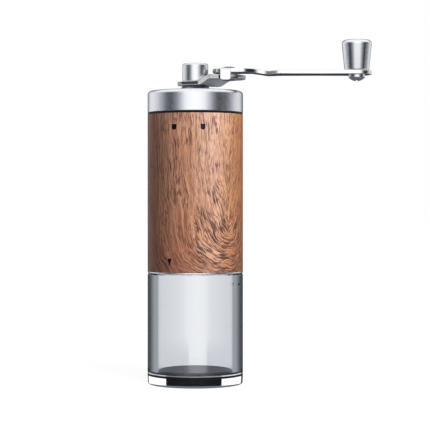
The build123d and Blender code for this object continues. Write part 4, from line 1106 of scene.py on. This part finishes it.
left_walls = room([
    (0, 1.03), (6, 1.02), (11, 0.98), (16, 0.94), (20, 0.86), (25, 0.78), (30, 0.65),
    (35, 0.45), (39, 0.34), (44, 0.19), (50, 0.11), (55, 0.06), (60, 0.03), (65, 0.03),
    (71, 0.07), (77, 0.11), (83, 0.21), (90, 0.32), (97, 0.46), (105, 0.56), (113, 0.61),
    (123, 0.69), (135, 0.67), (153, 0.28), (167, 0.1), (180, 0.05),
], bearing)
right_walls = room([
    (0, 1.03), (10, 1.01), (14, 0.95), (19, 0.89), (24, 0.83), (28, 0.73), (33, 0.55),
    (38, 0.4), (43, 0.23), (48, 0.13), (53, 0.055), (58, 0.022), (64, 0.008), (75, 0.008),
    (82, 0.05), (88, 0.12), (95, 0.26), (102, 0.43), (111, 0.56), (131, 0.63), (146, 0.4),
    (160, 0.06), (180, 0.05),
], bearing)
walls = blend(calc(tree, "GREATER_THAN", parts[0], 0.0), left_walls, right_walls)
mid_walls = room([
    (0, 0.93), (23, 0.9), (28, 0.55), (40, 0.28), (55, 0.05), (75, 0.06), (95, 0.2),
    (115, 0.4), (130, 0.3), (150, 0.06), (180, 0.015),
], bearing)
low_bearing = calc(tree, "ADD", bearing, spread(tree, parts[0], -0.1, 0.1, -0.0194, 0.0194))
low_walls = room([
    (0, 0.008), (70.7, 0.008), (72.0, 0.88), (148, 0.88), (153, 0.06), (180, 0.03),
], low_bearing)
under = room([(0, 0.15), (25, 0.15), (60, 0.14), (180, 0.11)], bearing)
walls = blend(spread(tree, pitch, -2.5, -1.0, 1.0, 0.0), walls, mid_walls)
skirting = calc(tree, "SUBTRACT", pitch, spread(tree, bearing, 0.2, 0.5, -9.2, -6.9))
walls = blend(spread(tree, skirting, -0.2, 0.2, 1.0, 0.0), walls, low_walls)
walls = blend(spread(tree, pitch, -14.5, -13.0, 1.0, 0.0), walls, under)
roof = spread(tree, parts[1], 0.3, 0.7, 0.8, 0.28)
walls = blend(spread(tree, pitch, 10.0, 26.0, 0.0, 1.0), walls, roof)
mirror_gain = 1.75
mirrored = calc(tree, "MULTIPLY", walls, mirror_gain)

# What shows through the jar has levels of its own: straight across, down onto the sill, and
# up at the sill mirrored in the far wall. Along the jar's two sides, where light goes
# through one wall only, it is nearly dark. All that is dull is lit evenly and weakly.
through = room([
    (0, 0.7), (120, 0.2), (140, 0.57), (150, 0.7), (160, 0.76), (176, 0.79), (178, 0.86),
    (180, 0.88),
], bearing)
sill = room([
    (0, 0.7), (120, 0.2), (140, 0.57), (150, 0.69), (160, 0.73), (174, 0.71), (177.3, 0.67),
    (177.7, 0.84), (180, 0.87),
], bearing)
through = blend(spread(tree, pitch, -5.6, -5.0, 1.0, 0.0), through, sill)
mirrored_sill = room([
    (0, 0.3), (174, 0.2), (177.3, 0.13), (177.7, 0.4), (180, 0.44),
], bearing)
through = blend(spread(tree, pitch, 0.0, 1.0, 0.0, 1.0), through, mirrored_sill)
edge_band = room([
    (0, 0.34), (124, 0.34), (140, 0.3), (155, 0.14), (166, 0.03), (180, 0.01),
], bearing)
once = calc(tree, "LESS_THAN", ray.outputs["Transmission Depth"], 3.0)
through = blend(once, through, edge_band)
level = blend(ray.outputs["Is Glossy Ray"], 0.1, mirrored)
level = blend(ray.outputs["Is Transmission Ray"], level, through)
level = blend(ray.outputs["Is Camera Ray"], level, 1.0)
cool = tinted(tree, spread(tree, level, 0.3, 1.0, 0.0, 1.0), (0.93, 1.0, 1.12, 1), (1, 1, 1, 1))
sky = put(tree, "Background", {"Strength": level, "Color": cool})
put(tree, "OutputWorld", {"Surface": sky.outputs[0]})

# The camera looks straight ahead, from level with the middle of the wood and so far off
# that the mill's sides stay upright.
camera_data = bpy.data.cameras.new("camera")
camera_data.lens = 131.96
camera_data.sensor_width = 36.0
camera_data.shift_y = -0.0349
camera_data.clip_start = 0.01
camera = bpy.data.objects.new("camera", camera_data)
camera.location = (0.01075, -0.86, 0.1)
camera.rotation_euler = (radians(90), 0, 0)
bpy.context.scene.collection.objects.link(camera)
bpy.context.scene.camera = camera
bpy.context.scene.view_settings.view_transform = "Standard"
